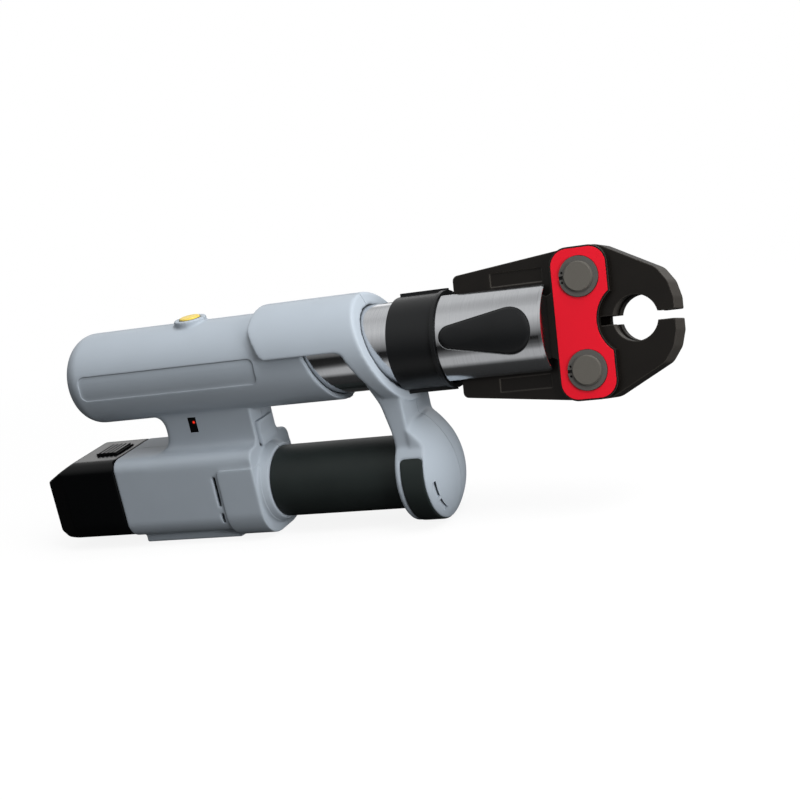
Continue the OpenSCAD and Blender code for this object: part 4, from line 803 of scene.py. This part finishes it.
class OBJECT_OT_press_inside(bpy.types.Operator):
    """Finishes the pieces inside the shells and puts in the springs as plain copies"""
    bl_idname = "object.press_inside"
    bl_label = "Inside"

    def execute(self, context):
        wear("housing_screws bow_screws grip_core motor_can motor_rotor gearbox_plate ring_gear "
             "planet_carrier carrier_bearing eccentric_bearing pump_plunger return_spring", "steel")
        wear("planet_gear_1 planet_gear_2 planet_gear_3", "brass")
        wear("motor_rings oil_bladder rod_seal piston_seal", "rubber")
        wear("trigger_switch motor_magnets", "nylon")
        wear("circuit_board", "board")
        for node, joint, body, axis, travel in SPRINGS:
            made = place_piece(node + "_coil", merged_copy(node, [node]), "steel", body, node)
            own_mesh(made)
        return {"FINISHED"}


TOOL_MIDDLE_X = -0.25


def paper_floor(floor_z):
    """White floor: white to the camera apart from the tool's shadow; shiny faces see painted light and painted
    shadow on it.
    """
    half = 30
    points = np.append(rectangle(-half, -half, half, half), np.full((4, 1), floor_z), axis=1)
    mesh = bpy.data.meshes.new("floor")
    mesh.from_pydata(points.tolist(), [], [(0, 1, 2, 3)])
    floor = bpy.data.objects.new("floor", mesh)
    bpy.context.scene.collection.objects.link(floor)
    made = bpy.data.materials.new("white_floor")
    made.use_nodes = True
    tree = made.node_tree
    tree.nodes.clear()
    path = add(tree, "LightPath")
    spot = add(tree, "NewGeometry").outputs["Position"]
    way = add(tree, "SeparateXYZ", {0: spot})
    away = add(tree, "VectorMath", {0: spot, 1: (TOOL_MIDDLE_X, 0, floor_z)}, operation="DISTANCE")
    fade = add(tree, "MapRange", {
        "Value": away.outputs["Value"], "From Min": 0.35, "From Max": 0.9, "To Min": 0.88, "To Max": 1.0})
    # what the metal sees of it: a painted shadow under the tool, a painted pool of light in front of it,
    # fading out, and painted shade by the battery
    front = add(tree, "MapRange", {"Value": way.outputs["Y"], "From Min": 0.0, "From Max": -0.5})
    painted_floor_light_and_shadow = toned(tree, front.outputs[0],
                  ((0.0, 0.01), (0.2, 0.02), (0.28, 0.5), (0.46, 0.5), (0.6, 0.2), (1.0, 0.05)))
    ahead = add(tree, "MapRange", {"Value": way.outputs["X"], "From Min": -0.43, "From Max": -0.33})
    near = add(tree, "Math", {0: path.outputs["Is Glossy Ray"], 1: ahead.outputs[0]}, operation="MULTIPLY")
    sheen = add(tree, "Math", {0: near.outputs[0], 1: painted_floor_light_and_shadow}, operation="MULTIPLY")
    # share of plain white, and the paper's tone: near white to the camera, almost black to shiny faces, dim to
    # all else
    share = add(tree, "Math", {0: path.outputs["Is Camera Ray"], 1: fade.outputs[0], 2: sheen.outputs[0]},
                operation="MULTIPLY_ADD")
    white = add(tree, "Math", {0: path.outputs["Is Camera Ray"], 1: 0.83, 2: 0.12}, operation="MULTIPLY_ADD")
    paper = add(tree, "Math", {0: path.outputs["Is Glossy Ray"], 1: -0.1, 2: white.outputs[0]},
                operation="MULTIPLY_ADD")
    lit = add(tree, "BsdfDiffuse", {"Color": paper.outputs[0]})
    glow = add(tree, "Emission", {"Color": (1, 1, 1, 1), "Strength": 1.0})
    both = add(tree, "MixShader", {0: share.outputs[0], 1: lit.outputs[0], 2: glow.outputs[0]})
    add(tree, "OutputMaterial", {"Surface": both.outputs[0]})
    mesh.materials.append(made)
    return floor


def studio_world():
    """Studio dome: bright overhead, dim at eye level, dark below, and white to the camera."""
    world = bpy.data.worlds.new("studio")
    world.use_nodes = True
    tree = world.node_tree
    tree.nodes.clear()
    path = add(tree, "LightPath")
    way = add(tree, "SeparateXYZ", {0: add(tree, "TexCoord").outputs["Generated"]})
    height = add(tree, "MapRange", {"Value": way.outputs["Z"], "From Min": -1.0}).outputs[0]
    dome = toned(tree, height, ((0.0, 0.01), (0.5, 0.05), (0.75, 0.32), (1.0, 0.95)))
    # what shiny faces see of it: a strip of light overhead between grey walls, a pale wall behind the tool
    strip = toned(tree, height, ((0.0, 0.01), (0.5, 0.08), (0.6, 0.28), (0.75, 0.55), (0.86, 0.75),
                                 (0.94, 0.7), (1.0, 0.3)))
    wall = toned(tree, height, ((0.0, 0.0), (0.54, 0.0), (0.59, 0.9), (0.66, 0.9), (0.74, 0.0), (1.0, 0.0)))
    behind = add(tree, "MapRange", {"Value": way.outputs["Y"], "From Min": 0.45, "From Max": 0.75}).outputs[0]
    bright = add(tree, "Math", {0: wall, 1: behind, 2: strip}, operation="MULTIPLY_ADD")
    room = add(tree, "MixRGB", {
        "Fac": path.outputs["Is Glossy Ray"], "Color1": dome, "Color2": bright.outputs[0]})
    shown = add(tree, "MixRGB", {
        "Fac": path.outputs["Is Camera Ray"], "Color1": room.outputs[0], "Color2": (1, 1, 1, 1)})
    back = add(tree, "Background", {"Color": shown.outputs[0], "Strength": 1.0})
    add(tree, "OutputWorld", {"Surface": back.outputs[0]})
    return world


def unit(vector):
    """A vector's direction, one long."""
    return vector / np.linalg.norm(vector)


def stand(name, data, spot, back, right):
    """Links a lamp or camera at a spot, X to the right, Z back and Y square to both."""
    made = bpy.data.objects.new(name, data)
    bpy.context.scene.collection.objects.link(made)
    turn = Matrix(np.stack([right, np.cross(back, right), back], -1).tolist()).to_4x4()
    made.matrix_world = Matrix.Translation(spot) @ turn
    return made


def studio_lamp(name, spot, aim, size, watts):
    """Square lamp at a spot, turned to its aim, which shiny faces don't mirror."""
    lamp = bpy.data.lights.new(name, "AREA")
    lamp.shape = "SQUARE"
    lamp.size = size
    lamp.energy = watts
    back = unit(np.array(spot) - np.array(aim))
    stand(name, lamp, spot, back, unit(np.cross([0, 0, 1.0], back))).visible_glossy = False


def photo_camera():
    """The photograph's camera: its place in metres, its turn in degrees and its lens in mm."""
    place = (0.30993, -1.01756, 0.24934)
    yaw, pitch, roll = np.radians([26.13, 14.39, -12.42])
    lens = bpy.data.cameras.new("photo_camera")
    lens.sensor_width = 36.0
    lens.lens = 72.2
    lens.clip_end = 100.0
    back = np.array([np.sin(yaw) * np.cos(pitch), -np.cos(yaw) * np.cos(pitch), np.sin(pitch)])
    level = np.array([np.cos(yaw), np.sin(yaw), 0])
    right = np.cos(roll) * level + np.sin(roll) * np.cross(back, level)
    return stand("photo_camera", lens, place, back, right)


class OBJECT_OT_press_stage(bpy.types.Operator):
    """Sets floor, light, world and camera"""
    bl_idname = "object.press_stage"
    bl_label = "Stage"

    def execute(self, context):
        scene = context.scene
        floor_gap = 0.2 * MM
        scene.view_settings.view_transform = "Standard"
        paper_floor(CAD_BOX[0][2] - floor_gap)
        scene.world = studio_world()
        studio_lamp("key", (0.38, -0.21, 1.23), (TOOL_MIDDLE_X, 0, 0), 0.9, 19.0)
        studio_lamp("fill", (1.0, -0.5, 0.15), (TOOL_MIDDLE_X, 0, -0.03), 0.5, 14.0)
        scene.camera = photo_camera()
        return {"FINISHED"}


STEPS = ("press_stage", "press_housing", "press_bow", "press_grip", "press_controls", "press_paddle",
         "press_head", "press_jaws", "press_battery", "press_inside")


class VIEW3D_PT_press_tool(bpy.types.Panel):
    """Lists the steps that build the tool"""
    bl_label = "Press tool"
    bl_space_type = "VIEW_3D"
    bl_region_type = "UI"
    bl_category = "Press tool"

    def draw(self, context):
        for step in STEPS:
            self.layout.operator("object." + step)


CLASSES = (PressToolSizes, PressToolColours, OBJECT_OT_press_stage, OBJECT_OT_press_housing,
           OBJECT_OT_press_bow, OBJECT_OT_press_grip, OBJECT_OT_press_controls, OBJECT_OT_press_paddle,
           OBJECT_OT_press_head, OBJECT_OT_press_jaws, OBJECT_OT_press_battery, OBJECT_OT_press_inside,
           VIEW3D_PT_press_tool)


def register():
    """Adds the classes and the scene's settings."""
    for c in CLASSES:
        bpy.utils.register_class(c)
    bpy.types.Scene.press_tool_sizes = bpy.props.PointerProperty(type=PressToolSizes)
    bpy.types.Scene.press_tool_colours = bpy.props.PointerProperty(type=PressToolColours)


def unregister():
    """Removes them again."""
    del bpy.types.Scene.press_tool_colours
    del bpy.types.Scene.press_tool_sizes
    for c in reversed(CLASSES):
        bpy.utils.unregister_class(c)


def main():
    """Builds the tool in order."""
    register()
    make_finishes(bpy.context.scene.press_tool_colours)
    for step in STEPS:
        getattr(bpy.ops.object, step)()


if __name__ == "__main__":
    main()
